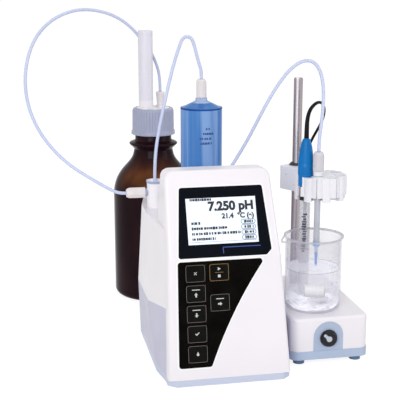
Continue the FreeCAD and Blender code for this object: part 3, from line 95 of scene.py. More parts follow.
def middle(node):
    """The middle of a node's box."""
    low, high = corners(node)
    return (low + high) / 2


def radius_of(node):
    """Half the width of a node that stands round an upright."""
    low, high = corners(node)
    return (high[0] - low[0]) / 2


def mesh_of(node):
    return frame["nodes"][node].data


def coordinates(mesh):
    """The places of a mesh's vertices."""
    places = np.empty(len(mesh.vertices) * 3)
    mesh.vertices.foreach_get("co", places)
    return places.reshape(-1, 3)


def vertices(node):
    """The places of a node's vertices."""
    return coordinates(mesh_of(node))


def joint(name):
    """What the frame says of a joint."""
    return next(entry for entry in frame["joints"] if entry["name"] == name)


def unit(vectors):
    """The vectors, each scaled to a length of one."""
    return vectors / np.linalg.norm(vectors, axis=-1, keepdims=True)


ACROSS = np.array((1.0, 0.0, 0.0))
UP = np.array((0.0, 0.0, 1.0))
# The datum of the routes: the middle of the dosing unit's front edge
SCREW_FROM_DATUM = np.array((3.0, 165.0)) * MM
DATUM = np.array((*(middle("lead_screw")[:2] - SCREW_FROM_DATUM), 0.0))


class Face:
    """A flat face of the unit: an origin on it, the way across, the way up it and the way out."""

    def __init__(self, node, out):
        self.out = np.array(out, float)
        self.up = unit(np.cross(self.out, ACROSS))
        places = vertices(node)
        depth = (places @ self.out).max()
        centre = (places.max(0) + places.min(0)) / 2
        self.origin = centre + self.out * (depth - centre @ self.out)

    def at(self, x, up, proud=0.0):
        """Points at x across and up from the node's middle, proud of the face; arrays work too."""
        x, up, proud = np.broadcast_arrays(*(np.asarray(value, float) for value in (x, up, proud)))
        return (self.origin + x[..., None] * ACROSS + up[..., None] * self.up
                + proud[..., None] * self.out)


def steepest_face(node):
    """The outward direction of the largest flat face that looks to the front."""
    mesh = mesh_of(node)
    count = len(mesh.polygons)
    normals, areas = np.empty(count * 3), np.empty(count)
    mesh.polygons.foreach_get("normal", normals)
    mesh.polygons.foreach_get("area", areas)
    normals = normals.reshape(-1, 3)
    facing = areas * (normals[:, 1] < -0.5)
    main = normals[facing.argmax()]
    aligned = 0.9999
    close = (normals @ main > aligned) * areas
    return unit((normals * close[:, None]).sum(0))


KEY_OUT = -np.array(joint("key_confirm_press")["axis"], float)
DISPLAY_OUT = steepest_face("display_window")
DISPLAY = Face("display_window", DISPLAY_OUT)
# The screen's pieces lie on the window, in front of the module that shows through it
SCREEN = Face("lcd_module", DISPLAY_OUT)
SCREEN.origin = SCREEN.origin + DISPLAY.out * ((DISPLAY.origin - SCREEN.origin) @ DISPLAY.out)
KEYPAD = Face("keypad_panel", KEY_OUT)


# Sizes and colours that a user would change

def length(name, default, description):
    return FloatProperty(name=name, default=default, description=description, subtype="DISTANCE",
                         unit="LENGTH", min=0.0)


def colour(name, default, description):
    return FloatVectorProperty(name=name, default=default, description=description, subtype="COLOR",
                               size=3, min=0.0, max=1.0)


def power(name, default, description):
    return FloatProperty(name=name, default=default, description=description, unit="POWER")


class TitratorSizes(bpy.types.PropertyGroup):
    """Sizes of the pieces that dress the set."""

    hose_diameter: length("Hose diameter", 3.6 * MM, "Outer diameter of the clear hoses")
    cable_diameter: length("Cable diameter", 3.0 * MM, "Outer diameter of the electrode's cable")
    boot_length: length("Boot length", 50 * MM, "Length of the tapered boot on the electrode's cap")
    boot_diameter: length("Boot diameter", 5.2 * MM, "Diameter of the boot where it leaves the cap")
    screen_width: length("Screen width", 71.3 * MM, "Width of the lit part of the display")
    screen_height: length("Screen height", 46.5 * MM, "Height of the lit part of the display")
    rim_width: length("Rim width", 1.7 * MM, "Width of the pale lip round the black panels")
    key_line: length("Key outline", 0.55 * MM, "Width of the printed line round each key")
    beaker_fill: length("Beaker fill", 42 * MM, "Height of the sample above the beaker's floor")
    bottle_fill: length("Bottle fill", 131 * MM, "Height of the reagent above the bench")


class TitratorColours(bpy.types.PropertyGroup):
    """Colours of the finishes."""

    housing: colour("Housing", (0.86, 0.83, 0.875), "Pale moulded shells")
    tub: colour("Tub", (0.56, 0.56, 0.70), "Grey-lilac lower shell")
    window: colour("Window", (0.004, 0.005, 0.009), "Black display frame")
    foil: colour("Foil", (0.0055, 0.0052, 0.0045), "Black keypad foil")
    screen: colour("Screen", (0.78, 0.86, 0.95), "Lit display")
    screen_line: colour("Screen line", (0.03, 0.08, 0.33), "Blue lines on the display frame")
    key_line: colour("Key outline", (0.12, 0.095, 0.09), "Printed key outlines")
    gold: colour("Start key outline", (0.24, 0.13, 0.03), "Outline of the start and stop key")
    sheath: colour("Sheath", (0.26, 0.44, 0.80), "Light-tight blue sheath")
    # Colour of the painted glow of light through the amber glass
    amber: colour("Amber", (0.175, 0.062, 0.018), "Glow of the amber glass above the reagent")
    cap: colour("Cap", (0.385, 0.40, 0.54), "Bottle cap")
    fitting: colour("Fitting", (0.81, 0.765, 0.775), "Hose unions")
    hose: colour("Hose", (0.60, 0.65, 0.85), "Clear hoses")
    electrode: colour("Electrode cap", (0.003, 0.185, 0.53), "Blue electrode cap")
    holder: colour("Holder", (0.88, 0.865, 0.91), "Moulded electrode holder")
    plinth: colour("Plinth", (0.42, 0.50, 0.66), "Stirrer base and front panel")
    rubber_feet: colour("Feet", (0.11, 0.20, 0.34), "Stirrer feet")


class TitratorStudio(bpy.types.PropertyGroup):
    """Camera and lights."""

    focal: FloatProperty(name="Focal length", default=87.95, description="Lens of the camera",
                         unit="CAMERA")
    key_power: power("Key light", 31.0, "Power of the main lamp")
    fill_power: power("Fill light", 10.0, "Power of the side lamp")
    top_power: power("Top light", 9.0, "Power of the top lamp")
    world_light: FloatProperty(name="World light", default=0.5,
                               description="Strength of the world's light")
    segments: IntProperty(name="Segments", default=96, description="Faces round a turned piece",
                          min=16)


def sizes():
    return bpy.context.scene.titrator_sizes


def colours():
    return bpy.context.scene.titrator_colours


def studio():
    return bpy.context.scene.titrator_studio


# Shader maths

class Wire:
    """An output of a shader node; Python's signs on it add Math nodes."""

    def __init__(self, nodes, socket):
        self.nodes = nodes
        self.socket = socket

    def math(self, operation, *others, swapped=False):
        values = (others[0], self) if swapped else (self, *others)
        return self.nodes.add("ShaderNodeMath", {"operation": operation}, *values)

    def __add__(self, other):
        return self.math("ADD", other)

    def __sub__(self, other):
        return self.math("SUBTRACT", other)

    def __rsub__(self, other):
        return self.math("SUBTRACT", other, swapped=True)

    def __mul__(self, other):
        return self.math("MULTIPLY", other)

    def __mod__(self, other):
        return self.math("FLOORED_MODULO", other)

    def __pow__(self, other):
        return self.math("POWER", other)

    def __abs__(self):
        return self.math("ABSOLUTE")

    __radd__ = __add__
    __rmul__ = __mul__

    def at_most(self, other):
        return self.math("MINIMUM", other)

    def at_least(self, other):
        return self.math("MAXIMUM", other)

    def ramp(self, low, high, start=0.0, end=1.0):
        """A smooth step from start at low to end at high."""
        return self.nodes.add("ShaderNodeMapRange", {"interpolation_type": "SMOOTHSTEP"},
                              self, low, high, start, end)

    def between(self, low, high, soft=0.02 * MM):
        """1 between two values and 0 outside, with soft ends."""
        return self.ramp(low - soft, low + soft) * (1 - self.ramp(high - soft, high + soft))

    def wave(self, pitch):
        """A triangle wave: a half at every whole pitch and 0 midway."""
        return abs((self * (1 / pitch)) % 1.0 - 0.5)


class Nodes:
    """A node tree, with helpers that add nodes and feed sockets."""

    def __init__(self, tree):
        self.tree = tree

    def plug(self, socket, value):
        """Links a wire to a socket or sets its value."""
        if isinstance(value, Wire):
            self.tree.links.new(value.socket, socket)
        elif hasattr(value, "__len__") and socket.type == "RGBA":
            socket.default_value = (*tuple(value)[:3], 1.0)
        else:
            socket.default_value = value

    def add(self, kind, settings=None, *values, output=None, **named):
        """Adds a node: its type, its settings, then its sockets by order or by name.

        What comes back is the named output, or the first one.
        """
        node = self.tree.nodes.new(kind)
        for name, value in (settings or {}).items():
            setattr(node, name, value)
        for socket, value in zip([s for s in node.inputs if s.enabled], values):
            self.plug(socket, value)
        for name, value in named.items():
            socket = next(s for s in node.inputs if s.enabled and s.name == name.replace("_", " "))
            self.plug(socket, value)
        outputs = [s for s in node.outputs if s.enabled and output in (None, s.name)]
        return Wire(self, outputs[0])

    def seen(self):
        """1 for what is seen straight, mirrored or through glass, and 0 for all other light."""
        straight, mirrored, through = (
            self.add("ShaderNodeLightPath", output=f"Is {way} Ray")
            for way in ("Camera", "Glossy", "Transmission"))
        return straight.at_least(mirrored).at_least(through)


class Finish(Nodes):
    """A material: one Principled shader, with helpers for the nodes that feed it."""

    def __init__(self, name, base=(0.8, 0.8, 0.8), **constants):
        self.material = bpy.data.materials.new(name)
        self.material.use_nodes = True
        super().__init__(self.material.node_tree)
        self.shader = self.tree.nodes["Principled BSDF"]
        self.set(Base_Color=base, **constants)

    def set(self, **values):
        for name, value in values.items():
            self.plug(self.shader.inputs[name.replace("_", " ")], value)
        return self

    def fed(self, name):
        """The wire that feeds one of the shader's sockets now."""
        return Wire(self, self.shader.inputs[name].links[0].from_socket)

    def place(self):
        """Object coordinates."""
        return self.add("ShaderNodeTexCoord", output="Object")

    def axis(self, name):
        """One of the object coordinates, by its letter."""
        return self.add("ShaderNodeSeparateXYZ", None, self.place(), output=name)

    def height(self):
        return self.axis("Z")

    def turned_away(self, blend):
        """0 where the surface faces the eye and 1 where it turns away."""
        return self.add("ShaderNodeLayerWeight", None, Blend=blend, output="Facing")

    def noise(self, scale, detail=3.0, roughness=0.55, stretch=None):
        """Cloudy noise from 0 to 1; a small share in stretch draws it out along that axis."""
        place = self.place()
        if stretch:
            place = self.add("ShaderNodeMapping", None, Vector=place, Scale=stretch)
        return self.add("ShaderNodeTexNoise", None, Vector=place, Scale=scale, Detail=detail,
                        Roughness=roughness)

    def mix(self, mask, first, second):
        """First colour where the mask is 0, second where it is 1."""
        return self.add("ShaderNodeMix", {"data_type": "RGBA"}, mask, first, second)

    def bump(self, height, distance):
        """Lets the light fall as on a surface that rises by the height times the distance."""
        bumped = self.add("ShaderNodeBump", None, Height=height, Distance=distance, Strength=1.0)
        return self.set(Normal=bumped)

    def mottled(self, base, darker, scale=18.0):
        """A colour with a faint, slow change over the surface."""
        shade = self.noise(scale, 2.0).ramp(0.3, 0.7)
        return self.mix(shade, scaled(base, darker), base)


def scaled(base, factor):
    """A colour made darker or lighter by a factor."""
    return tuple(channel * factor for channel in base)


# Finishes

MADE = {}
BLACK = (0.008, 0.008, 0.012)
WHITE = (0.87, 0.85, 0.89)


def finish(name):
    """The material of that name, made when it is first asked for."""
    if name not in MADE:
        MADE[name] = FINISHES[name]().material
    return MADE[name]


def grained(name, roughness=0.36, coat=0.15, grain=1400.0, depth=0.012 * MM):
    """Moulded plastic without its colour: a fine spark-eroded grain and an uneven gloss."""
    made = Finish(name, Coat_Weight=coat, Coat_Roughness=0.25, IOR=1.46)
    made.set(Roughness=made.noise(45.0, 4.0).ramp(0.25, 0.8, roughness - 0.05, roughness + 0.09))
    return made.bump(made.noise(grain, 2.0), depth)


def moulded(name, base, *surface):
    """Moulded plastic with slow shade changes; the rest is as grained() takes it."""
    made = grained(name, *surface)
    return made.set(Base_Color=made.mottled(base, 0.965))


def plain(name, base, darker, patches, grain=None, **constants):
    """A plain surface with slow shade changes; a grain has a scale, a detail and a depth."""
    made = Finish(name, **constants)
    made.set(Base_Color=made.mottled(base, darker, patches))
    if grain:
        scale, detail, depth = grain
        made.bump(made.noise(scale, detail), depth)
    return made


def printed(name, base, roughness=0.5):
    """Screen-printed ink: slightly uneven cover."""
    made = Finish(name, Roughness=roughness)
    cover = made.noise(1500.0, 3.0).ramp(0.25, 0.6)
    return made.set(Base_Color=made.mix(cover, scaled(base, 0.75), base))


def brushed(name, base, roughness, stretch):
    """Drawn or turned metal: streaks along the way it was worked."""
    made = Finish(name, Metallic=1.0)
    streaks = made.noise(260.0, 4.0, 0.6, stretch)
    made.set(Base_Color=made.mix(streaks.ramp(0.3, 0.7), scaled(base, 0.84), base),
             Roughness=streaks.ramp(0.25, 0.75, roughness - 0.07, roughness + 0.1))
    return made.bump(streaks, 0.01 * MM)


def clear_glass(name, tint, alpha, rim=0.8):
    """Thin clear glass seen through its alpha: a faint tint face on, denser where it turns away."""
    made = Finish(name, tint, Roughness=0.03, IOR=1.47)
    cloud = made.noise(60.0, 3.0).ramp(0.3, 0.8, 0.0, 0.03)
    return made.set(Alpha=(made.turned_away(0.3) ** 2.2) * (rim - alpha) + alpha + cloud)


def housing_finish():
    """The pale shells, a little greyer towards the bench."""
    made = grained("housing_gloss", 0.34, 0.25)
    low = made.height().ramp(0.0, 60 * MM)
    clean = made.mottled(colours().housing, 0.975)
    return made.set(Base_Color=made.mix(low, scaled(colours().housing, 0.95), clean))


def tub_finish():
    """The lower shell, paler along its toe on the bench."""
    made = grained("tub_grey", 0.42, 0.1, 1100.0, 0.02 * MM)
    above = made.height().ramp(7.6 * MM, 8.4 * MM)
    shell = made.mottled(colours().tub, 0.95)
    return made.set(Base_Color=made.mix(above, (0.55, 0.60, 0.74), shell))


def window_finish():
    """Black glass-like acrylic with faint dust and wiping marks."""
    made = Finish("display_black", IOR=1.3, Specular_IOR_Level=0.08)
    dust = made.noise(900.0, 4.0).ramp(0.62, 0.8)
    wiped = made.noise(30.0, 5.0, 0.6, (1.0, 4.0, 4.0)).ramp(0.3, 0.75, 0.1, 0.24)
    return made.set(Base_Color=made.mix(dust * 0.25, colours().window, (0.10, 0.11, 0.13)),
                    Roughness=wiped)


def foil_finish():
    """Polyester foil with an embossed matt grain and smudges."""
    made = plain("keypad_foil", colours().foil, 0.6, 60.0, (2600.0, 2.0, 0.02 * MM), IOR=1.2,
                 Specular_IOR_Level=0.02)
    return made.set(Roughness=made.noise(35.0, 4.0).ramp(0.3, 0.75, 0.34, 0.5))


def screen_finish():
    """A lit reflective display: fine rows of dots and slow changes of shade."""
    made = Finish("screen_lit", Roughness=0.28, Coat_Weight=0.4, Coat_Roughness=0.08,
                  Emission_Strength=0.22)
    dots = made.height().wave(0.45 * MM).ramp(0.38, 0.5)
    shade = made.noise(22.0, 2.0).ramp(0.2, 0.8)
    lit = made.mix(shade, scaled(colours().screen, 0.95), colours().screen)
    tinted = made.mix(dots * 0.10, lit, (0.55, 0.63, 0.75))
    return made.set(Base_Color=tinted, Emission_Color=tinted)


def knob_finish():
    """Glossy black knob."""
    made = plain("knob_black", (0.014, 0.014, 0.016), 0.7, 90.0, IOR=1.4, Specular_IOR_Level=0.35)
    return made.set(Roughness=made.noise(150.0, 3.0).ramp(0.3, 0.7, 0.22, 0.36))


def key_finish():
    """Domed keys: a shade lighter than the foil and worn smoother in places."""
    made = plain("key_top", (0.0085, 0.0085, 0.008), 0.7, 90.0, (2200.0, 2.0, 0.012 * MM), IOR=1.25,
                 Specular_IOR_Level=0.05)
    return made.set(Roughness=made.noise(120.0, 3.0).ramp(0.3, 0.7, 0.28, 0.42))


def board_finish():
    """Circuit board: solder mask with copper tracks below it."""
    made = Finish("circuit_board", Roughness=0.35, Coat_Weight=0.4)
    tracks = made.axis("X").wave(2.4 * MM).ramp(0.36, 0.42)
    winding = made.axis("Y") * (1 / (3.1 * MM)) + made.noise(40.0) * 0.6
    across = abs(winding % 1.0 - 0.5).ramp(0.38, 0.44)
    copper = (tracks + across).ramp(0.3, 0.9)
    return made.set(Base_Color=made.mix(copper, (0.01, 0.10, 0.04), (0.03, 0.20, 0.08)))


def motor_finish():
    """Black lacquered laminations with a fine edge-on stripe."""
    made = Finish("motor_black", Roughness=0.4, Metallic=0.2)
    layers = made.height().wave(0.5 * MM).ramp(0.2, 0.5)
    made.set(Base_Color=made.mix(layers, (0.01, 0.01, 0.011), (0.045, 0.045, 0.048)))
    return made.bump(layers, 0.05 * MM)


def rod_finish():
    """Ground stainless rod: a painted highlight band up it between darker warm grey flanks of
    painted reflection, and an uneven gloss.
    """
    made = Finish("ground_steel", Metallic=1.0)
    centre = middle("stand_rod")
    across = (made.axis("X") - centre[0]) * 0.98 - (made.axis("Y") - centre[1]) * 0.2
    # Painted reflection: a bright band up the rod's front and darker flanks at its sides, fixed to
    # the rod
    painted_highlight_band = across.between(-2.6 * MM, -0.2 * MM, 0.9 * MM)
    painted_dark_flank = abs(across).ramp(3.0 * MM, 4.6 * MM)
    grind = made.noise(26.0, 3.0, 0.5, (1.0, 1.0, 0.4)).ramp(0.3, 0.7)
    tone = made.mix(painted_highlight_band, (0.35, 0.31, 0.33), (0.66, 0.63, 0.66))
    tone = made.mix(painted_dark_flank * 0.7, tone, (0.27, 0.20, 0.21))
    return made.set(Base_Color=made.mix(grind * 0.2, tone, (0.46, 0.42, 0.44)),
                    Roughness=grind.ramp(0.0, 1.0, 0.24, 0.32))


def fitting_finish():
    """Turned fluoropolymer unions: waxy, ivory, faint tool marks."""
    made = plain("union_ivory", colours().fitting, 0.93, 120.0, Roughness=0.45,
                 Subsurface_Weight=0.15, Subsurface_Radius=(0.004, 0.003, 0.002),
                 Subsurface_Scale=0.5)
    return made.bump(made.noise(700.0, 2.0, 0.5, (1.0, 1.0, 6.0)), 0.02 * MM)


def valve_finish():
    """White valve body whose three ports are a cooler grey."""
    made = grained("valve_white", 0.4, 0.1, 1200.0, 0.015 * MM)
    centre = middle("valve_plug")
    away = ((made.axis("X") - centre[0]) ** 2 + (made.axis("Y") - centre[1]) ** 2) ** 0.5
    ports = away.ramp(8.8 * MM, 9.1 * MM)
    return made.set(Base_Color=made.mix(ports, made.mottled(WHITE, 0.965), (0.34, 0.39, 0.56)))


def holder_finish():
    """The moulded electrode holder, a little translucent."""
    made = moulded("holder_white", colours().holder, 0.42, 0.12, 1300.0, 0.02 * MM)
    return made.set(Subsurface_Weight=0.08, Subsurface_Scale=0.5)


def drying_finish():
    """Translucent polyethylene tube, denser where the packing lies at its foot."""
    made = Finish("drying_tube_white", Roughness=0.48, Subsurface_Weight=0.3,
                  Subsurface_Radius=(0.006, 0.006, 0.007), Subsurface_Scale=1.0)
    packing = foot_of("drying_tube") + 16 * MM
    above = made.height().ramp(packing - 1.5 * MM, packing + 1.5 * MM)
    wall = made.mottled((0.73, 0.715, 0.79), 0.97, 30.0)
    made.set(Base_Color=made.mix(above, (0.80, 0.77, 0.82), wall))
    return made.bump(made.noise(90.0, 2.0, 0.5, (1.0, 1.0, 0.2)), 0.02 * MM)


def cap_finish():
    """Ribbed polypropylene cap, a little paler on its lower flange."""
    made = grained("cap_lilac", 0.42, 0.1, 1300.0, 0.02 * MM)
    foot = foot_of("bottle_cap")
    above = made.height().ramp(foot + 4 * MM, foot + 6 * MM)
    tone = made.mix(above, scaled(colours().cap, 1.25), made.mottled(colours().cap, 0.93, 40.0))
    return made.set(Base_Color=tone, Subsurface_Weight=0.1, Subsurface_Scale=0.5)


def beaker_finish():
    """The beaker's wall, denser just under its rim."""
    made = clear_glass("beaker_glass", (0.60, 0.58, 0.67), 0.17, 0.7)
    top = top_of("beaker")
    under_rim = made.height().ramp(top - 2.6 * MM, top - 2.2 * MM)
    return made.set(Alpha=(made.fed("Alpha") + under_rim * 0.22).at_most(1.0))


def rim_glass_finish():
    """The thick rounded rim, paler than the wall as a painted highlight, and faintly green where it
    is deepest.
    """
    made = Finish("rim_glass", Roughness=0.05, IOR=1.47)
    deep = made.noise(30.0, 2.0).ramp(0.4, 0.65)
    # The rim's pale colour is a painted highlight; the green is the glass's own tint
    return made.set(Base_Color=made.mix(deep, (0.74, 0.75, 0.79), (0.78, 0.84, 0.76)),
                    Alpha=made.turned_away(0.4).ramp(0.1, 0.9, 0.35, 0.85))


def shaft_finish():
    """Electrode glass: a black sleeve under the cap, clear below it and frosted near its end."""
    clear = (0.60, 0.60, 0.66)
    made = clear_glass("electrode_glass", clear, 0.26)
    foot, top = foot_of("electrode_shaft"), top_of("electrode_shaft")
    height = made.height()
    sleeve = height.ramp(top - 15.2 * MM, top - 15 * MM)
    frost = 1 - height.ramp(foot + 52 * MM, foot + 54 * MM)
    tint = made.mix(frost, clear, (0.80, 0.80, 0.85))
    cover = made.fed("Alpha") + frost * 0.30 + sleeve
    return made.set(Base_Color=made.mix(sleeve, tint, BLACK), Alpha=cover.at_most(1.0))


def amber_finish():
    """Amber glass: nearly black, with a painted brown glow of light through the shoulder above the
    reagent.
    """
    made = Finish("amber_bottle", Roughness=0.09, IOR=1.25, Specular_IOR_Level=0.14)
    edge = made.turned_away(0.5)
    ripple = made.noise(16.0, 3.0, 0.6, (1.0, 1.0, 0.5)).ramp(0.35, 0.7)
    dark = made.mix(ripple, (0.013, 0.005, 0.008), (0.028, 0.010, 0.013))
    painted_glow_tone = made.mix(ripple, (0.050, 0.014, 0.009), colours().amber)
    # Painted light: a brown glow of light through the glass, in a band of heights and away from the
    # edges
    glow = made.height().between(146 * MM, 172 * MM, 14 * MM) * (1 - edge.ramp(0.25, 0.7))
    return made.set(Base_Color=made.mix(glow, dark, painted_glow_tone), Alpha=edge.ramp(0.0, 0.9, 0.985, 1.0))


def sheath_finish():
    """Blue acrylic tube: see-through in the middle, deeper at its sides and at its cone, with
    painted streaks of reflection up it.
    """
    made = Finish("sheath_blue", Roughness=0.08, IOR=1.35, Specular_IOR_Level=0.2)
    edge = made.turned_away(0.4)
    height, top = made.height(), top_of("uv_sheath")
    # Painted reflection: faint streaks drawn out up the tube
    painted_reflection_streak = made.noise(95.0, 2.0, 0.5, (1.0, 1.0, 0.03)).ramp(0.38, 0.62)
    cone = height.ramp(top - 12 * MM, top - 10 * MM)
    neck = height.ramp(top - 5.4 * MM, top - 4.8 * MM)
    tone = made.mix(painted_reflection_streak, (0.08, 0.25, 0.62), colours().sheath)
    tone = made.mix(cone * 0.85, tone, (0.045, 0.175, 0.50))
    tone = made.mix(neck, tone, (0.50, 0.60, 0.82))
    return made.set(Base_Color=made.mix(edge.ramp(0.3, 0.95), tone, (0.02, 0.17, 0.54)),
                    Alpha=edge.ramp(0.0, 0.85, 0.82, 0.98))


def hose_finish():
    """Milky fluoropolymer hose, deeper towards its sides."""
    made = Finish("hose_milky", Roughness=0.3, IOR=1.38, Specular_IOR_Level=0.3)
    cloud = made.noise(12.0, 2.0).ramp(0.3, 0.7)
    pale = made.mix(cloud, (0.54, 0.60, 0.81), colours().hose)
    side = made.turned_away(0.5).ramp(0.3, 0.95)
    return made.set(Base_Color=made.mix(side, pale, (0.38, 0.44, 0.70)))


def electrode_blue_finish():
    """Satin blue cap, a little deeper towards its top."""
    made = grained("electrode_cap_blue", 0.36, 0.0, 900.0, 0.008 * MM)
    top = top_of("electrode_cap")
    rise = made.height().ramp(top - 46 * MM, top - 6 * MM)
    return made.set(Base_Color=made.mix(rise, colours().electrode, (0.002, 0.155, 0.46)),
                    Specular_IOR_Level=0.2)


def tip_finish():
    """Dosing tip: white adapter above, grey tube, blue collar and a clear blue nozzle."""
    made = Finish("dosing_tip_layers", Roughness=0.35, Coat_Weight=0.2)
    foot, top = foot_of("dosing_tip"), top_of("dosing_tip")
    height = made.height()
    grey = made.mottled((0.50, 0.52, 0.58), 0.9, 90.0)
    tone = (0.12, 0.32, 0.72)
    layers = [(15, 17, (0.50, 0.60, 0.78)), (22.6, 23, (0.16, 0.38, 0.76)), (27.3, 27.6, grey),
              (76, 77, (0.78, 0.78, 0.82))]
    for start, end, above in layers:
        tone = made.mix(height.ramp(foot + start * MM, foot + end * MM), tone, above)
    ring = height.between(top - 5.4 * MM, top - 4.6 * MM)
    return made.set(Base_Color=made.mix(ring, tone, (0.24, 0.40, 0.36)))


def water_finish():
    """Water: almost clear, with painted bright patches of gathered light near the bottom, painted
    swirls of refraction and a painted glow from its emission.
    """
    # The emission paints a glow: the water sends out light though it is no lamp
    made = Finish("sample_water", Roughness=0.04, IOR=1.2, Specular_IOR_Level=0.3,
                  Emission_Strength=0.58)
    foot = foot_of("beaker")
    deep = 1 - made.height().ramp(foot + 4 * MM, foot + 19 * MM)
    # Painted light: bright patches near the bottom where light gathers
    patches = made.noise(55.0, 2.0, 0.5, (1.0, 1.0, 2.2)).ramp(0.42, 0.56) * deep
    # Painted refraction: darker swirls through the water
    painted_refraction = made.noise(38.0, 3.0, 0.6, (1.6, 1.6, 0.5)).ramp(0.52, 0.66)
    painted_refraction_tone = made.mix(painted_refraction, (0.90, 0.92, 0.97), (0.62, 0.62, 0.70))
    tone = made.mix(patches, painted_refraction_tone, (0.98, 0.99, 1.0))
    body = made.turned_away(0.3).ramp(0.15, 0.95, 0.22, 0.40)
    return made.set(Base_Color=tone, Emission_Color=tone, Alpha=body + patches * 0.5)


def water_line_finish():
    """The pale, broken line where the water meets the glass, painted where the meniscus bends the
    light.
    """
    made = printed("water_line", (0.42, 0.44, 0.50), 0.1)
    return made.set(Alpha=made.noise(40.0, 2.0).ramp(0.3, 0.7, 0.25, 0.7))


def titrant_finish():
    """The clear titrant behind the blue sheath."""
    made = Finish("titrant", Roughness=0.05, IOR=1.33)
    shade = made.noise(80.0, 2.0, 0.5, (1.0, 1.0, 0.1)).ramp(0.35, 0.65)
    return made.set(Base_Color=made.mix(shade, (0.34, 0.55, 0.90), (0.62, 0.74, 0.96)),
                    Alpha=made.turned_away(0.4).ramp(0.1, 0.9, 0.35, 0.8))


FINISHES = {
    # The main unit
    "housing": housing_finish,
    "lip": lambda: moulded("lip_white", (0.93, 0.93, 0.95), 0.3, 0.2),
    "tub": tub_finish,
    "window": window_finish,
    "screen": screen_finish,
    "ink": lambda: printed("screen_ink", (0.006, 0.007, 0.016)),
    "soft_key": lambda: printed("soft_key_border", (0.20, 0.27, 0.42), 0.4),
    "screen_blue": lambda: printed("frame_blue", colours().screen_line, 0.35),
    "foil": foil_finish,
    "key": key_finish,
    "key_line": lambda: printed("key_outline", colours().key_line),
    "gold": lambda: printed("start_outline", colours().gold, 0.4),
    "key_mark": lambda: printed("key_mark", (0.62, 0.62, 0.60)),
    "board": board_finish,
    "motor": motor_finish,
    "dark": lambda: moulded("dark_plastic", (0.012, 0.012, 0.014), 0.45, 0.1, 1500.0, 0.02 * MM),
    "white": lambda: moulded("white_plastic", WHITE, 0.4, 0.1, 1200.0, 0.015 * MM),
    "rubber": lambda: plain("rubber_black", (0.016, 0.016, 0.017), 0.6, 160.0,
                            (1800.0, 3.0, 0.03 * MM), Roughness=0.75),
    "steel": lambda: brushed("turned_steel", (0.58, 0.57, 0.56), 0.28, (1.0, 1.0, 8.0)),
    "aluminium": lambda: brushed("milled_aluminium", (0.74, 0.75, 0.76), 0.34, (8.0, 1.0, 1.0)),
    "brass": lambda: brushed("turned_brass", (0.74, 0.54, 0.22), 0.25, (1.0, 1.0, 8.0)),
    "nickel": lambda: brushed("nickel_socket", (0.66, 0.64, 0.60), 0.22, (6.0, 1.0, 6.0)),
    # The dosing cylinder, the valve and the bottle
    "valve": valve_finish,
    "cylinder": lambda: clear_glass("cylinder_glass_clear", (0.70, 0.80, 0.93), 0.16),
    "sheath": sheath_finish,
    "sheath_ink": lambda: printed("sheath_print", (0.02, 0.07, 0.28), 0.4),
    # A dark line of painted shade where the sheath's wall meets its cone
    "shoulder": lambda: plain("sheath_shoulder", (0.010, 0.085, 0.36), 0.7, 60.0, Roughness=0.3,
                              IOR=1.3, Specular_IOR_Level=0.1),
    "titrant": titrant_finish,
    "fitting": fitting_finish,
    "hose": hose_finish,
    "amber": amber_finish,
    "reagent": lambda: plain("reagent", (0.05, 0.016, 0.007), 0.7, 30.0, Roughness=0.05, IOR=1.33),
    "cap": cap_finish,
    "drying": drying_finish,
    # The stirrer and what stands on it
    "plinth": lambda: moulded("plinth_grey", colours().plinth, 0.45, 0.08, 1200.0, 0.02 * MM),
    "feet": lambda: plain("feet_blue", colours().rubber_feet, 0.8, 120.0, (1500.0, 2.0, 0.03 * MM),
                          Roughness=0.6),
    "knob": knob_finish,
    "knob_mark": lambda: printed("knob_mark", (0.52, 0.55, 0.64)),
    "rod": rod_finish,
    "holder": holder_finish,
    "tip": tip_finish,
    "tip_nut": lambda: moulded("union_grey", (0.66, 0.65, 0.69), 0.45, 0.1, 1200.0, 0.02 * MM),
    "electrode": electrode_blue_finish,
    "electrode_grip": lambda: moulded("electrode_grip_blue", (0.004, 0.12, 0.38), 0.4, 0.0, 900.0,
                                      0.008 * MM),
    "cable": lambda: plain("cable_black", (0.006, 0.006, 0.009), 0.6, 200.0,
                           (1600.0, 2.0, 0.02 * MM), Roughness=0.5, IOR=1.3,
                           Specular_IOR_Level=0.25),
    "shaft": shaft_finish,
    "shaft_ink": lambda: printed("shaft_print", (0.05, 0.05, 0.08), 0.4),
    "bulb": lambda: plain("electrode_bulb", (0.14, 0.15, 0.19), 0.5, 200.0, Roughness=0.15,
                          Coat_Weight=0.5),
    "frost": lambda: plain("electrode_frost", (0.70, 0.73, 0.80), 0.82, 160.0,
                           (900.0, 2.0, 0.03 * MM), Roughness=0.6),
    "beaker": beaker_finish,
    "rim_glass": rim_glass_finish,
    "glass_ink": lambda: printed("glass_print", (0.80, 0.81, 0.84), 0.45),
    "water": water_finish,
    "water_line": water_line_finish,
}

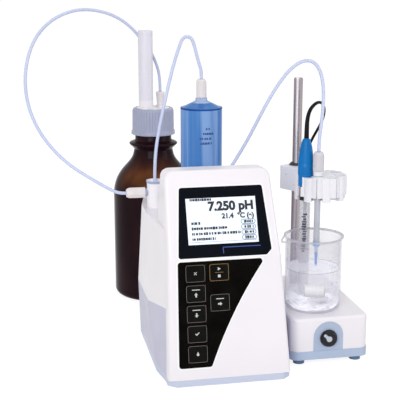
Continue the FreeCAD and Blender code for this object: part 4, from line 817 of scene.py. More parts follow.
# The CAD pieces that have each finish
NODE_FINISHES = {
    "housing": ["front_bezel", "upper_housing", "stirrer_cover"],
    "tub": ["base_tub", "rear_panel"],
    "window": ["display_window"],
    "screen": ["lcd_module"],
    "foil": ["keypad_panel"],
    "key": ["key_cancel", "key_up", "key_down", "key_confirm", "key_fill", "key_start_stop",
            "key_right"],
    "board": ["keypad_board", "main_board"],
    "nickel": ["rear_sockets"],
    "dark": ["power_switch", "stirrer_knob", "clamp_collar", "clamp_knob", "cable_plug"],
    "rubber": ["housing_feet", "piston_seal"],
    "motor": ["stepper_motor", "valve_motor", "stir_motor"],
    "aluminium": ["drive_frame", "piston_rod"],
    "steel": ["lead_screw", "magnet_rotor"],
    "brass": ["drive_nut"],
    "white": ["piston", "cylinder_socket", "valve_plug", "cap_insert", "stir_bar"],
    "valve": ["valve_body"],
    "cylinder": ["cylinder_glass"],
    "sheath": ["uv_sheath"],
    "fitting": ["tube_nuts", "suction_connector"],
    "tip_nut": ["tip_nut"],
    "amber": ["bottle_glass"],
    "cap": ["bottle_cap"],
    "drying": ["drying_tube"],
    "hose": ["dip_tube", "suction_tube", "transfer_tube", "dosing_tube"],
    "plinth": ["stirrer_base"],
    "feet": ["stirrer_feet"],
    "rod": ["stand_rod"],
    "holder": ["holder_head"],
    "electrode": ["electrode_cap"],
    "shaft": ["electrode_shaft"],
    "tip": ["dosing_tip"],
    "beaker": ["beaker"],
    "cable": ["electrode_cable"],
}


# Surfaces

def full_turn(count):
    """Angles of a ring whose last point isn't its first."""
    return np.linspace(0.0, 2 * math.pi, count, endpoint=False)


def closed_turn(count):
    """Angles of a ring that ends where it begins, in so many steps."""
    return np.linspace(0.0, 2 * math.pi, count + 1)


def linked(name, data):
    """A new object of the scene."""
    piece = bpy.data.objects.new(name, data)
    bpy.context.scene.collection.objects.link(piece)
    return piece


def new_piece(name, points, faces, smooth=True):
    """An object at the origin whose mesh holds the points and faces."""
    mesh = bpy.data.meshes.new(name)
    mesh.from_pydata(np.asarray(points, float).reshape(-1, 3), [], faces)
    mesh.validate()
    mesh.polygons.foreach_set("use_smooth", [smooth] * len(mesh.polygons))
    return linked(name, mesh)


def grid_faces(rows, columns):
    """Quads of a grid of points that is closed round its columns."""
    row = np.arange(rows - 1)[:, None]
    column = np.arange(columns)[None, :]
    after = (column + 1) % columns
    quads = np.stack([row * columns + column, row * columns + after,
                      (row + 1) * columns + after, (row + 1) * columns + column], -1)
    return quads.reshape(-1, 4).tolist()


def capped_faces(rows, columns):
    """The quads of a closed grid, with one face over each end."""
    last = (rows - 1) * columns
    return grid_faces(rows, columns) + [list(range(columns))[::-1],
                                        list(range(last, last + columns))]


def around(centre, radius, angle, height):
    """Points round the upright through centre: centre + (r cos a, r sin a), at a height."""
    x, y, z = np.broadcast_arrays(centre[0] + radius * np.cos(angle),
                                  centre[1] + radius * np.sin(angle), height)
    return np.stack([x, y, z], -1)


def on_cylinder(centre, radius, angle, height):
    """Points on an upright cylinder; 0 looks to the front and angles run to the right."""
    return np.stack([centre[0] + radius * np.sin(angle), centre[1] - radius * np.cos(angle),
                     height + 0 * angle], -1)


def turned(name, profile, centre):
    """A turned piece: radius and height along the profile, carried round an upright.

    A point is centre + (r cos a, r sin a, z). The profile runs from the axis, outside going up,
    back to the axis, so the faces look outwards and both poles are closed.
    """
    profile = np.asarray(profile, float)
    count = studio().segments
    radius, height = np.maximum(profile[:, :1], 1e-6), profile[:, 1:]
    return new_piece(name, around(centre, radius, full_turn(count), height),
                     grid_faces(len(profile), count))


def spline_points(name, points):
    """The smooth line of a route: a quadratic NURBS curve with the route as its control points."""
    curve = bpy.data.curves.new(name, "CURVE")
    curve.dimensions = "3D"
    spline = curve.splines.new("NURBS")
    spline.points.add(len(points) - 1)
    for place, point in zip(spline.points, points):
        place.co = (*point, 1.0)
    spline.order_u = 3
    spline.use_endpoint_u = True
    spline.resolution_u = 12
    line = linked(name, curve)
    bpy.context.view_layer.update()
    mesh = bpy.data.meshes.new_from_object(line)
    path = coordinates(mesh)
    bpy.data.objects.remove(line)
    bpy.data.curves.remove(curve)
    bpy.data.meshes.remove(mesh)
    return path


def tube(name, path, radius, count=16):
    """A round tube along a path: each ring is path + r (cos a · side + sin a · over).

    The side direction is carried along by removing its share along the path at every step.
    radius is one number or one for each point; both ends are closed.
    """
    path = np.asarray(path, float)
    way = unit(np.gradient(path, axis=0))
    side = np.cross(way[0], UP if abs(way[0][2]) < 0.9 else ACROSS)
    sides = []
    for direction in way:
        side = unit(side - direction * (side @ direction))
        sides.append(side)
    sides = np.array(sides)
    over = np.cross(way, sides)
    angle = full_turn(count)[None, :, None]
    radius = np.broadcast_to(np.asarray(radius, float), (len(path),))[:, None, None]
    circle = np.cos(angle) * sides[:, None] + np.sin(angle) * over[:, None]
    return new_piece(name, path[:, None] + radius * circle, capped_faces(len(path), count))


def smooth_outline(points, steps=6):
    """A curve through the points: each run is a cubic whose ends lean along its neighbours.

    From b to c, with a before and d after them and t from 0 to 1, it is half of
    2b + (c - a) t + (2a - 5b + 4c - d) t^2 + (3b - a - 3c + d) t^3.
    """
    points = np.asarray(points, float)
    padded = np.concatenate([points[:1], points, points[-1:]])
    a, b, c, d = (part[:, None] for part in (padded[:-3], padded[1:-2], padded[2:-1], padded[3:]))
    t = np.linspace(0.0, 1.0, steps, endpoint=False)[None, :, None]
    curve = (2 * b + (c - a) * t + (2 * a - 5 * b + 4 * c - d) * t ** 2
             + (3 * b - a - 3 * c + d) * t ** 3) / 2
    return np.concatenate([curve.reshape(-1, 2), points[-1:]])


def rounded_outline(outline, radius, steps=5):
    """A closed outline of (x, y) whose corners are arcs of that radius, counter-clockwise."""
    outline = np.asarray(outline, float)
    rounded = []
    for before, corner, after in zip(np.roll(outline, 1, 0), outline, np.roll(outline, -1, 0)):
        into, away = unit(corner - before), unit(after - corner)
        half_turn = math.acos(np.clip(into @ away, -1, 1)) / 2
        if half_turn < 0.02:
            rounded.append(corner)
            continue
        trim = radius * math.tan(half_turn)
        normal = np.array((-into[1], into[0]))
        centre = corner - into * trim + normal * radius
        start = math.atan2(-normal[1], -normal[0])
        turn = start + np.linspace(0.0, 2 * half_turn, steps)
        rounded += list(centre + radius * np.stack([np.cos(turn), np.sin(turn)], -1))
    return np.array(rounded)


def box_outline(width, height, x=0.0, y=0.0):
    """A rectangle about x and y, counter-clockwise."""
    return np.array([(x - width / 2, y - height / 2), (x + width / 2, y - height / 2),
                     (x + width / 2, y + height / 2), (x - width / 2, y + height / 2)])


def outward(outline):
    """The direction out of a closed counter-clockwise outline at each of its points."""
    way = unit(np.roll(outline, -1, 0) - np.roll(outline, 1, 0))
    return np.stack([way[:, 1], -way[:, 0]], -1)


def plate(name, face, outline, thickness=0.12 * MM, sunk=0.04 * MM):
    """A thin plate on a face: the outline at its back and front, closed by its two ends."""
    outline = np.asarray(outline, float)
    layers = [face.at(outline[:, 0], outline[:, 1], proud) for proud in (-sunk, thickness)]
    return new_piece(name, layers, capped_faces(2, len(outline)), smooth=False)


def lip(name, face, outline, width, height, base=-0.05 * MM):
    """A raised lip along a closed outline: a low half-round section carried round it.

    The section is outline + normal · (width/2) cos a across and height · sin a out of the face.
    """
    outline = np.asarray(outline, float)
    angle = np.linspace(0.0, math.pi, 7)[:, None]
    across = outline + outward(outline) * (width / 2 * np.cos(angle))[..., None]
    rows = face.at(across[..., 0], across[..., 1], height * np.sin(angle) + base)
    return new_piece(name, rows, grid_faces(len(angle), len(outline)))


def lettering(name, face, text, height, x, up, bold):
    """Generic figures and units, as a flat mesh on a face that ends at x."""
    font = bpy.data.curves.new(name, "FONT")
    font.body = text
    font.size = height
    font.align_x = "RIGHT"
    font.offset = bold
    font.extrude = 0.03 * MM
    letters = linked(name + "_font", font)
    bpy.context.view_layer.update()
    shaped = letters.evaluated_get(bpy.context.evaluated_depsgraph_get())
    mesh = bpy.data.meshes.new_from_object(shaped)
    bpy.data.objects.remove(letters)
    mesh.name = name
    places = coordinates(mesh)
    mesh.vertices.foreach_set("co", face.at(x + places[:, 0], up + places[:, 1],
                                            places[:, 2] + 0.06 * MM).ravel())
    return linked(name, mesh)


def curved_label(name, centre, radius, angle, height, half_width, half_height):
    """A thin curved plate on an upright cylinder, for a printed mark or patch."""
    turn = angle + np.linspace(-half_width, half_width, 13) / radius
    points = [on_cylinder(centre, reach, turn, height + rise)
              for reach in (radius, radius + 0.08 * MM) for rise in (-half_height, half_height)]
    count = len(turn)
    lower_in, upper_in, lower_out, upper_out = (np.arange(count) + count * row for row in range(4))
    quads = []
    for first, second in ((lower_out, upper_out), (upper_in, lower_in), (lower_in, lower_out),
                          (upper_out, upper_in)):
        quads += np.stack([first[:-1], first[1:], second[1:], second[:-1]], -1).tolist()
    quads += [[int(row[0]) for row in (lower_in, lower_out, upper_out, upper_in)],
              [int(row[-1]) for row in (lower_in, upper_in, upper_out, lower_out)]]
    return new_piece(name, points, quads)


def dress(piece, finish_name, body):
    """Gives a piece its finish and its body."""
    piece.data.materials.clear()
    piece.data.materials.append(finish(finish_name))
    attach(piece, body)
    return piece


def face_outline(node, face):
    """The longest closed edge of a node's front face, as across and up on it.

    Of the front triangles' edges, each in its triangle's order, those with no twin the other way
    round are the rim, and they are joined end to end.
    """
    mesh = mesh_of(node)
    triangles = np.empty(len(mesh.polygons) * 3, int)
    mesh.polygons.foreach_get("vertices", triangles)
    places = vertices(node) - face.origin
    flat = np.round(np.stack([places @ ACROSS, places @ face.up], -1) / MM, 3)
    front = (np.abs(places @ face.out) < 0.03 * MM)[triangles].reshape(-1, 3).all(1)
    ring = [[tuple(flat[corner]) for corner in triangle]
            for triangle in triangles.reshape(-1, 3)[front]]
    edges = {(three[turn], three[(turn + 1) % 3]) for three in ring for turn in range(3)}
    following = {start: end for start, end in edges if (end, start) not in edges}
    loops = []
    while following:
        start, place = following.popitem()
        loop = [start]
        while place in following:
            loop.append(place)
            place = following.pop(place)
        loops.append(np.array(loop + [place] if place != start else loop) * MM)
    return max(loops, key=lambda loop: np.ptp(loop, axis=0).sum())


# Routes of the hoses and the cable, in millimetres from the datum: x, y, z

SUCTION_ROUTE = [
    (-19, 315, 257), (-19, 315, 271), (-22, 314.5, 288), (-30, 314.5, 306), (-42, 314.5, 322),
    (-55, 311, 337), (-72, 304, 349), (-92, 296, 356.5), (-115, 285, 359.5), (-137, 272, 355.5),
    (-157, 257, 345.5), (-173, 241, 329), (-183, 224, 307), (-187, 208, 282), (-184, 194, 256),
    (-174.5, 181, 233), (-160, 170, 213), (-142, 161, 196.5), (-124, 155, 185),
    (-108.5, 151.8, 175.5), (-97.5, 150.3, 169.2), (-89.55, 150, 166.5), (-83.55, 150, 166.5)]
TRANSFER_ROUTE = [
    (-52, 150, 174.7), (-52, 150, 192.7), (-50, 152, 215), (-45, 154, 241), (-38.5, 156, 268),
    (-32, 158.5, 293), (-26.5, 160.3, 311), (-22.5, 161.2, 322), (-18, 161.8, 333.5),
    (-8.5, 162.9, 333.5), (-4.5, 163.4, 322), (-2, 164, 312), (0.8, 165, 303), (3, 165, 296.5),
    (3, 165, 287.5)]
DOSING_ROUTE = [
    (-26.16, 131.90, 166.5), (-17.96, 126.17, 166.5), (-7, 120, 169), (6, 118.5, 175.5),
    (18, 120.5, 185.5), (28, 123, 197.5), (36.5, 124, 210.5), (44.5, 121.5, 225), (53, 117, 244),
    (62, 111.5, 264.5), (71.5, 107, 283), (81.5, 103, 298.5), (91.5, 99.5, 308.5),
    (101.5, 96.8, 312.3), (109.8, 94.8, 309.5), (115.2, 93, 301), (118, 91.2, 288.5),
    (118.4, 89.5, 274), (117, 87, 258.5), (114.3, 83.2, 243.5), (111.62, 79.93, 231.7),
    (111.62, 79.93, 217.7)]
CABLE_ROUTE = [
    (101.36, 91.29, 230.8), (101.36, 91.29, 239.8), (102.5, 94, 250), (106, 98, 259),
    (112.2, 101.6, 265), (119, 104.8, 267.2), (124.8, 108.2, 263.8), (127.6, 112, 255),
    (126, 115.5, 244), (121, 120, 232), (117.5, 125, 222), (117, 133, 212.5), (119, 144, 205.5),
    (121.5, 156, 202), (121.5, 168, 198), (119, 178, 188), (117, 183, 173), (116, 184, 152),
    (116.5, 185.5, 126), (118, 189, 98), (118.5, 192, 70), (117.5, 194.5, 44), (114.5, 198, 21),
    (106, 204, 7), (93, 213, 1.8), (82, 228, 1.7), (82.5, 248, 1.6), (96, 264, 1.7),
    (114, 275, 1.6), (125, 292, 1.7), (121, 313, 1.6), (104, 328, 1.7), (82, 331, 1.6),
    (60, 325, 2.4), (44, 314, 9), (33, 303, 22), (26, 295, 40), (24, 281.9, 52), (24, 265.9, 52)]


def route(points):
    """The places of a route's points, in metres."""
    return DATUM + np.array(points) * MM


def distances(path):
    """How far along the path each of its points lies."""
    steps = np.linalg.norm(np.diff(path, axis=0), axis=1)
    return np.concatenate([[0.0], np.cumsum(steps)])


def cord_piece(name, path, radius, finish_name, body=None, bend=None):
    """A cord's tube with its finish: it rides on a body, or, when bend is given, its places are
    fixed in its mesh. The bodies and places that bend holds are not used.
    """
    piece = tube(name, path, radius)
    piece.data.materials.append(finish(finish_name))
    if bend:
        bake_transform(piece)
    else:
        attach(piece, body)
    return piece


# Operators

# The camera's place in metres, its tilt and its turn in degrees
CAMERA_PLACE = (-0.2461, -1.06635, 0.4002)
CAMERA_TILT = 76.94
CAMERA_TURN = -11.35
FLOOR_SIDE = 14.0
# The floor's shade where it is seen, and what it sends back as a light
FLOOR_SEEN = (0.86, 0.86, 0.86)
FLOOR_LIT = (0.30, 0.30, 0.31)


class TITRATOR_OT_stage(bpy.types.Operator):
    """Makes the camera, the pale floor, the world and the lamps"""

    bl_idname = "titrator.stage"
    bl_label = "Studio"

    def execute(self, context):
        self.make_camera(context)
        self.make_floor()
        self.make_world(context)
        self.make_lamps()
        return {"FINISHED"}

    def make_camera(self, context):
        camera = bpy.data.cameras.new("studio_camera")
        camera.lens = studio().focal
        camera.sensor_width = 36
        camera.clip_end = 20
        holder = linked("studio_camera", camera)
        holder.location = CAMERA_PLACE
        holder.rotation_euler = (math.radians(CAMERA_TILT), 0.0, math.radians(CAMERA_TURN))
        context.scene.camera = holder
        context.scene.view_settings.view_transform = "Standard"

    def make_floor(self):
        """A flat sheet, pale to the camera and mid-toned to the light it sends back."""
        sheet = [(x, y, 0.0) for x, y in box_outline(2 * FLOOR_SIDE, 2 * FLOOR_SIDE)]
        floor = new_piece("studio_floor", sheet, [[0, 1, 2, 3]], smooth=False)
        made = Finish("studio_white", Roughness=0.9, Specular_IOR_Level=0.0, Emission_Strength=1.0)
        seen = made.seen()
        made.set(Base_Color=made.mix(seen, (0.8, 0.8, 0.8), FLOOR_LIT),
                 Emission_Color=made.mix(seen, (0.0, 0.0, 0.0), FLOOR_SEEN))
        floor.data.materials.append(made.material)

    def make_world(self, context):
        """A white world: full to the camera, weaker as a light."""
        world = bpy.data.worlds.new("studio_world")
        world.use_nodes = True
        nodes = Nodes(world.node_tree)
        background = world.node_tree.nodes["Background"]
        level = nodes.add("ShaderNodeMapRange", None, nodes.seen(), 0.0, 1.0,
                          studio().world_light, 1.0)
        nodes.plug(background.inputs["Strength"], level)
        nodes.plug(background.inputs["Color"], (1.0, 1.0, 1.0))
        context.scene.world = world

    def make_lamps(self):
        """Square lamps: a name, a place, what it looks at, its side, its power and its tint."""
        lamps = [
            ("studio_key", (-1.15, -2.1, 1.05), (0.0, -0.05, 0.15), 1.3, studio().key_power,
             (1.0, 0.99, 0.98)),
            ("studio_fill", (1.9, -0.9, 0.9), (0.0, 0.0, 0.15), 1.2, studio().fill_power,
             (0.97, 0.98, 1.0)),
            ("studio_top", (0.2, 0.5, 2.2), (0.0, 0.0, 0.1), 1.6, studio().top_power,
             (1.0, 1.0, 1.0)),
        ]
        for name, place, target, size, energy, tint in lamps:
            light = bpy.data.lights.new(name, "AREA")
            light.size = size
            light.energy = energy
            light.color = tint
            lamp = linked(name, light)
            lamp.location = place
            way = Vector(place) - Vector(target)
            lamp.rotation_euler = way.to_track_quat("Z", "Y").to_euler()


class TITRATOR_OT_hoses(bpy.types.Operator):
    """Makes the three clear hoses along their routes"""

    bl_idname = "titrator.hoses"
    bl_label = "Hoses"

    def execute(self, context):
        radius = sizes().hose_diameter / 2
        facts = {"diameter": sizes().hose_diameter, "far_end": "object", "stiffness": "stiff",
                 "lay": "loose"}
        for node, points in (("suction_tube", SUCTION_ROUTE), ("transfer_tube", TRANSFER_ROUTE)):
            path = spline_points(node, route(points))
            piece = cord_piece(node.replace("tube", "hose"), path, radius, "hose",
                               body="titrator")
            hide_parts(node)
        self.dosing(radius, facts)
        return {"FINISHED"}

    def dosing(self, radius, facts):
        """The dosing hose in two pieces, split where it is highest."""
        path = spline_points("dosing", route(DOSING_ROUTE))
        split = int(path[:, 2].argmax())
        start, crest, end = path[0], path[split], path[-1]
        rising = cord_piece("dosing_hose_rising", path[:split + 1], radius, "hose",
                            bend=("titrator", "clamp_collar", start + ACROSS * 40 * MM,
                                  (crest[0], start[1], start[2])))
        cord_piece("dosing_hose_falling", path[split:], radius, "hose",
                   bend=("clamp_collar", "holder", (end[0], end[1], crest[2]),
                         (end[0], end[1], end[2] + 8 * MM)))
        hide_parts("dosing_tube")


class TITRATOR_OT_cable(bpy.types.Operator):
    """Makes the electrode's cable with its tapered boot"""

    bl_idname = "titrator.cable"
    bl_label = "Electrode cable"

    def execute(self, context):
        path = spline_points("cable", route(CABLE_ROUTE))
        radius = sizes().cable_diameter / 2
        boot = sizes().boot_diameter / 2 - radius
        radii = radius + boot * np.clip(1 - distances(path) / sizes().boot_length, 0.0, 1.0) ** 0.8
        split = int(np.abs(path[:, 1] - (DATUM[1] + 156 * MM)).argmin())
        (x, y, z), (_, back, low) = path[0], path[split]
        upper = cord_piece("cable_at_holder", path[:split + 1], radii[:split + 1], "cable",
                           bend=("clamp_collar", "holder", (x, back - 4 * MM, z),
                                 (x, y + 6 * MM, z)))
        cord_piece("cable_to_unit", path[split:], radii[split:], "cable",
                   bend=("titrator", "clamp_collar", (x, y, 64 * MM), (x, y, low - 4 * MM)))
        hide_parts("electrode_cable")
        return {"FINISHED"}


class TITRATOR_OT_display(bpy.types.Operator):
    """Makes the lit screen, its reading, its soft keys and the blue corner line"""

    bl_idname = "titrator.display"
    bl_label = "Display"

    def execute(self, context):
        width, height = sizes().screen_width, sizes().screen_height
        glow = plate("screen_glow", SCREEN, box_outline(width, height), 0.05 * MM)
        dress(glow, "screen", "titrator")
        self.reading(width / 2, height / 2)
        self.menu(width, height)
        self.corner_line(width, height)
        return {"FINISHED"}

    def reading(self, right, top):
        """Two lines: name, text, size, distance from the right and from the top, and weight."""
        lines = [("reading_large", "7.250 pH", 12.5, 2.4, 12.8, 0.6),
                 ("reading_small", "21.4  °C (a)", 7.0, 2.6, 21.2, 0.34)]
        for name, text, size, side, down, bold in lines:
            piece = lettering(name, SCREEN, text, size * MM, right - side * MM, top - down * MM,
                              bold * MM)
            dress(piece, "ink", "titrator")

    def menu(self, width, height):
        """Four rows of plain bars, each with a rounded soft key at its right."""
        left, right, top = -width / 2 + 4.2 * MM, width / 2, height / 2
        rows = [(9.0, 25.5), (37.0, 30.8), (49.0, 36.1), (22.5, 41.4)]
        for index, (run, down) in enumerate(rows):
            self.bars(f"menu_row_{index + 1}", left, top - (down - 0.3) * MM, run * MM, index)
            x, up = right - 9.2 * MM, top - (down - 0.2) * MM
            outer = rounded_outline(box_outline(14.4 * MM, 4.3 * MM, x, up), 1.9 * MM)
            border = lip(f"soft_key_{index + 1}", SCREEN, outer, 0.7 * MM, 0.08 * MM, 0.06 * MM)
            dress(border, "soft_key", "titrator")
            self.bars(f"soft_key_mark_{index + 1}", right - 13.4 * MM, up, 8.4 * MM, index + 5)
        self.bars("title", left, top - 1.6 * MM, 22.0 * MM, 11)
        line = box_outline(width - 3 * MM, 0.25 * MM, 0.0, -height / 2 + 2.4 * MM)
        dress(plate("footer_line", SCREEN, line, 0.08 * MM), "ink", "titrator")

    def bars(self, name, x, up, run, seed):
        """A row of short plain bars, uneven as words are, from a seeded draw."""
        draw = np.random.default_rng(seed)
        place, points = x, []
        while place < x + run:
            width = draw.uniform(0.9, 2.6) * MM
            height = draw.uniform(2.1, 3.0) * MM
            outline = box_outline(min(width, x + run - place + 0.4 * MM), height,
                                  place + width / 2, up)
            points.append(SCREEN.at(outline[:, 0], outline[:, 1], 0.09 * MM))
            place += width + draw.choice([0.35, 0.35, 1.1]) * MM
        faces = np.arange(4 * len(points)).reshape(-1, 4).tolist()
        dress(new_piece(name, np.concatenate(points), faces, smooth=False), "ink", "titrator")

    def corner_line(self, width, height):
        """A blue line under the screen that turns down at its left end."""
        line = 0.9 * MM
        left, right = -1.6 * MM, width / 2 + 1.5 * MM
        top, low = -height / 2 - 3.2 * MM, -height / 2 - 9.8 * MM
        outline = [(left, low), (left + line, low), (left + line, top - line), (right, top - line),
                   (right, top), (left, top)]
        dress(plate("frame_line", SCREEN, outline), "screen_blue", "titrator")


class TITRATOR_OT_panels(bpy.types.Operator):
    """Makes the pale lips round the two black panels"""

    bl_idname = "titrator.panels"
    bl_label = "Panel lips"

    def execute(self, context):
        width = sizes().rim_width
        for node, face in (("display_window", DISPLAY), ("keypad_panel", KEYPAD)):
            outline = face_outline(node, face)
            outline = outline + outward(outline) * width / 2
            dress(lip(f"{node}_lip", face, outline, width, 0.45 * MM), "lip", "titrator")
        return {"FINISHED"}


# Outlines of the keys' signs, each about its own middle and about two units high
ARROW = np.array([(-0.32, -1.0), (0.32, -1.0), (0.32, 0.0), (0.85, 0.0), (0.0, 1.05), (-0.85, 0.0),
                  (-0.32, 0.0)])
CROSS = np.array([(-0.9, -0.65), (-0.65, -0.9), (0.0, -0.25), (0.65, -0.9), (0.9, -0.65),
                  (0.25, 0.0), (0.9, 0.65), (0.65, 0.9), (0.0, 0.25), (-0.65, 0.9), (-0.9, 0.65),
                  (-0.25, 0.0)])
TRIANGLE = np.array([(-0.7, -0.9), (0.95, 0.0), (-0.7, 0.9)])
SQUARE = np.array([(-0.75, -0.75), (0.75, -0.75), (0.75, 0.75), (-0.75, 0.75)])
DROP = np.array([(-0.62, -0.35), (-0.42, -0.78), (0.0, -0.98), (0.42, -0.78), (0.62, -0.35),
                 (0.4, 0.15), (0.0, 1.05), (-0.4, 0.15)])
TICK = np.array([(-0.28, -0.7), (1.04, 0.62), (0.78, 0.9), (-0.28, -0.14), (-0.72, 0.33),
                 (-1.0, 0.05)])
RIGHTWARDS = np.array(((0.0, -1.0), (1.0, 0.0)))
# The signs of each key: a sign, its size in millimetres and how far up it stands
KEY_SIGNS = {
    "key_cancel": [(CROSS, 1.7, 0.0)],
    "key_up": [(ARROW, 2.2, -1.2)],
    "key_down": [(-ARROW, 2.2, -1.2)],
    "key_confirm": [(TICK, 2.2, 0.0)],
    "key_fill": [(DROP, 2.2, 0.4)],
    "key_right": [(ARROW @ RIGHTWARDS, 2.2, -1.2)],
    "key_start_stop": [(TRIANGLE, 1.8, 3.6), (SQUARE, 1.8, -3.6)],
}


class TITRATOR_OT_keys(bpy.types.Operator):
    """Prints each key's outline and its plain sign"""

    bl_idname = "titrator.keys"
    bl_label = "Key outlines and signs"

    def execute(self, context):
        for key, signs in KEY_SIGNS.items():
            self.outline(key)
            for index, (shape, scale, up) in enumerate(signs):
                self.sign(f"{key}_sign_{index + 1}", key, shape * scale * MM + (0.0, up * MM))
        divider = plate("key_divider", Face("key_start_stop", KEY_OUT),
                        box_outline(8.5 * MM, 0.4 * MM))
        dress(divider, "gold", "key_start_stop")
        for key in ("key_up", "key_down", "key_right"):
            self.sign(f"{key}_bar", key, box_outline(8.0 * MM, 0.8 * MM, 0.0, 3.9 * MM))
        return {"FINISHED"}

    def outline(self, key):
        """The printed line round a key."""
        face = Face(key, KEY_OUT)
        places = vertices(key) - face.origin
        width = np.ptp(places @ ACROSS)
        height = np.ptp(places @ face.up)
        line = sizes().key_line
        outline = rounded_outline(box_outline(width - line * 1.2, height - line * 1.2), 2.0 * MM)
        ring = lip(f"{key}_outline", face, outline, line, 0.1 * MM)
        dress(ring, "gold" if key == "key_start_stop" else "key_line", key)

    def sign(self, name, key, outline):
        """A printed sign, its outline turned counter-clockwise if it isn't."""
        x, y = outline.T
        if np.sum(x * np.roll(y, -1) - y * np.roll(x, -1)) < 0:
            outline = outline[::-1]
        dress(plate(name, Face(key, KEY_OUT), outline), "key_mark", key)


class TITRATOR_OT_cylinder(bpy.types.Operator):
    """Fills the dosing cylinder and prints the sheath's scale"""

    bl_idname = "titrator.cylinder"
    bl_label = "Dosing cylinder"

    def execute(self, context):
        axis = middle("cylinder_glass")
        self.titrant(axis)
        self.scale(axis)
        self.shoulder_ring(axis)
        return {"FINISHED"}

    def titrant(self, axis):
        """The titrant between piston and roof."""
        piston_top = top_of("piston")
        roof = top_of("uv_sheath") - 15.5 * MM
        radius, gap = 9.85 * MM, 0.1 * MM
        column = turned("titrant_column", [(0, piston_top + gap), (radius, piston_top + gap),
                                           (radius, roof), (0, roof)], axis)
        dress(column, "titrant", "titrator")
        filled = roof - piston_top
        stroke = joint("piston_stroke")["range_m"][1]
        float((filled - stroke - 2 * gap) / filled)
        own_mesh(column)

    def scale(self, axis):
        """Four short lines of plain uneven bars, where the sheath is printed."""
        top, radius = top_of("uv_sheath"), radius_of("uv_sheath")
        draw = np.random.default_rng(12)
        rows = [(31.5, 0.02, 0.22), (36.7, -0.12, 0.30), (42.1, -0.28, 0.26), (47.3, -0.24, 0.28)]
        for row, (down, start, end) in enumerate(rows):
            angle = start
            while angle < end:
                half = draw.uniform(0.6, 1.3) * MM
                name = f"sheath_print_{row + 1}_{int(angle * 100 + 50)}"
                bar = curved_label(name, axis, radius, angle + half / radius, top - down * MM, half,
                                   1.15 * MM)
                dress(bar, "sheath_ink", "titrator")
                angle += (2 * half + draw.choice([0.5, 0.5, 1.3]) * MM) / radius

    def shoulder_ring(self, axis):
        """A painted dark line of shade where the sheath's wall meets its cone."""
        loop = on_cylinder(axis, radius_of("uv_sheath") - 0.8 * MM, closed_turn(96),
                           top_of("uv_sheath") - 11.2 * MM)
        ring = tube("sheath_shoulder_line", loop, 1.1 * MM, 8)
        dress(ring, "shoulder", "titrator")


# In millimetres: the bottle's wall, the rounding of its heel and where its shoulder begins
BOTTLE_WALL = 3.0
BOTTLE_HEEL = 8
BOTTLE_STRAIGHT = 131


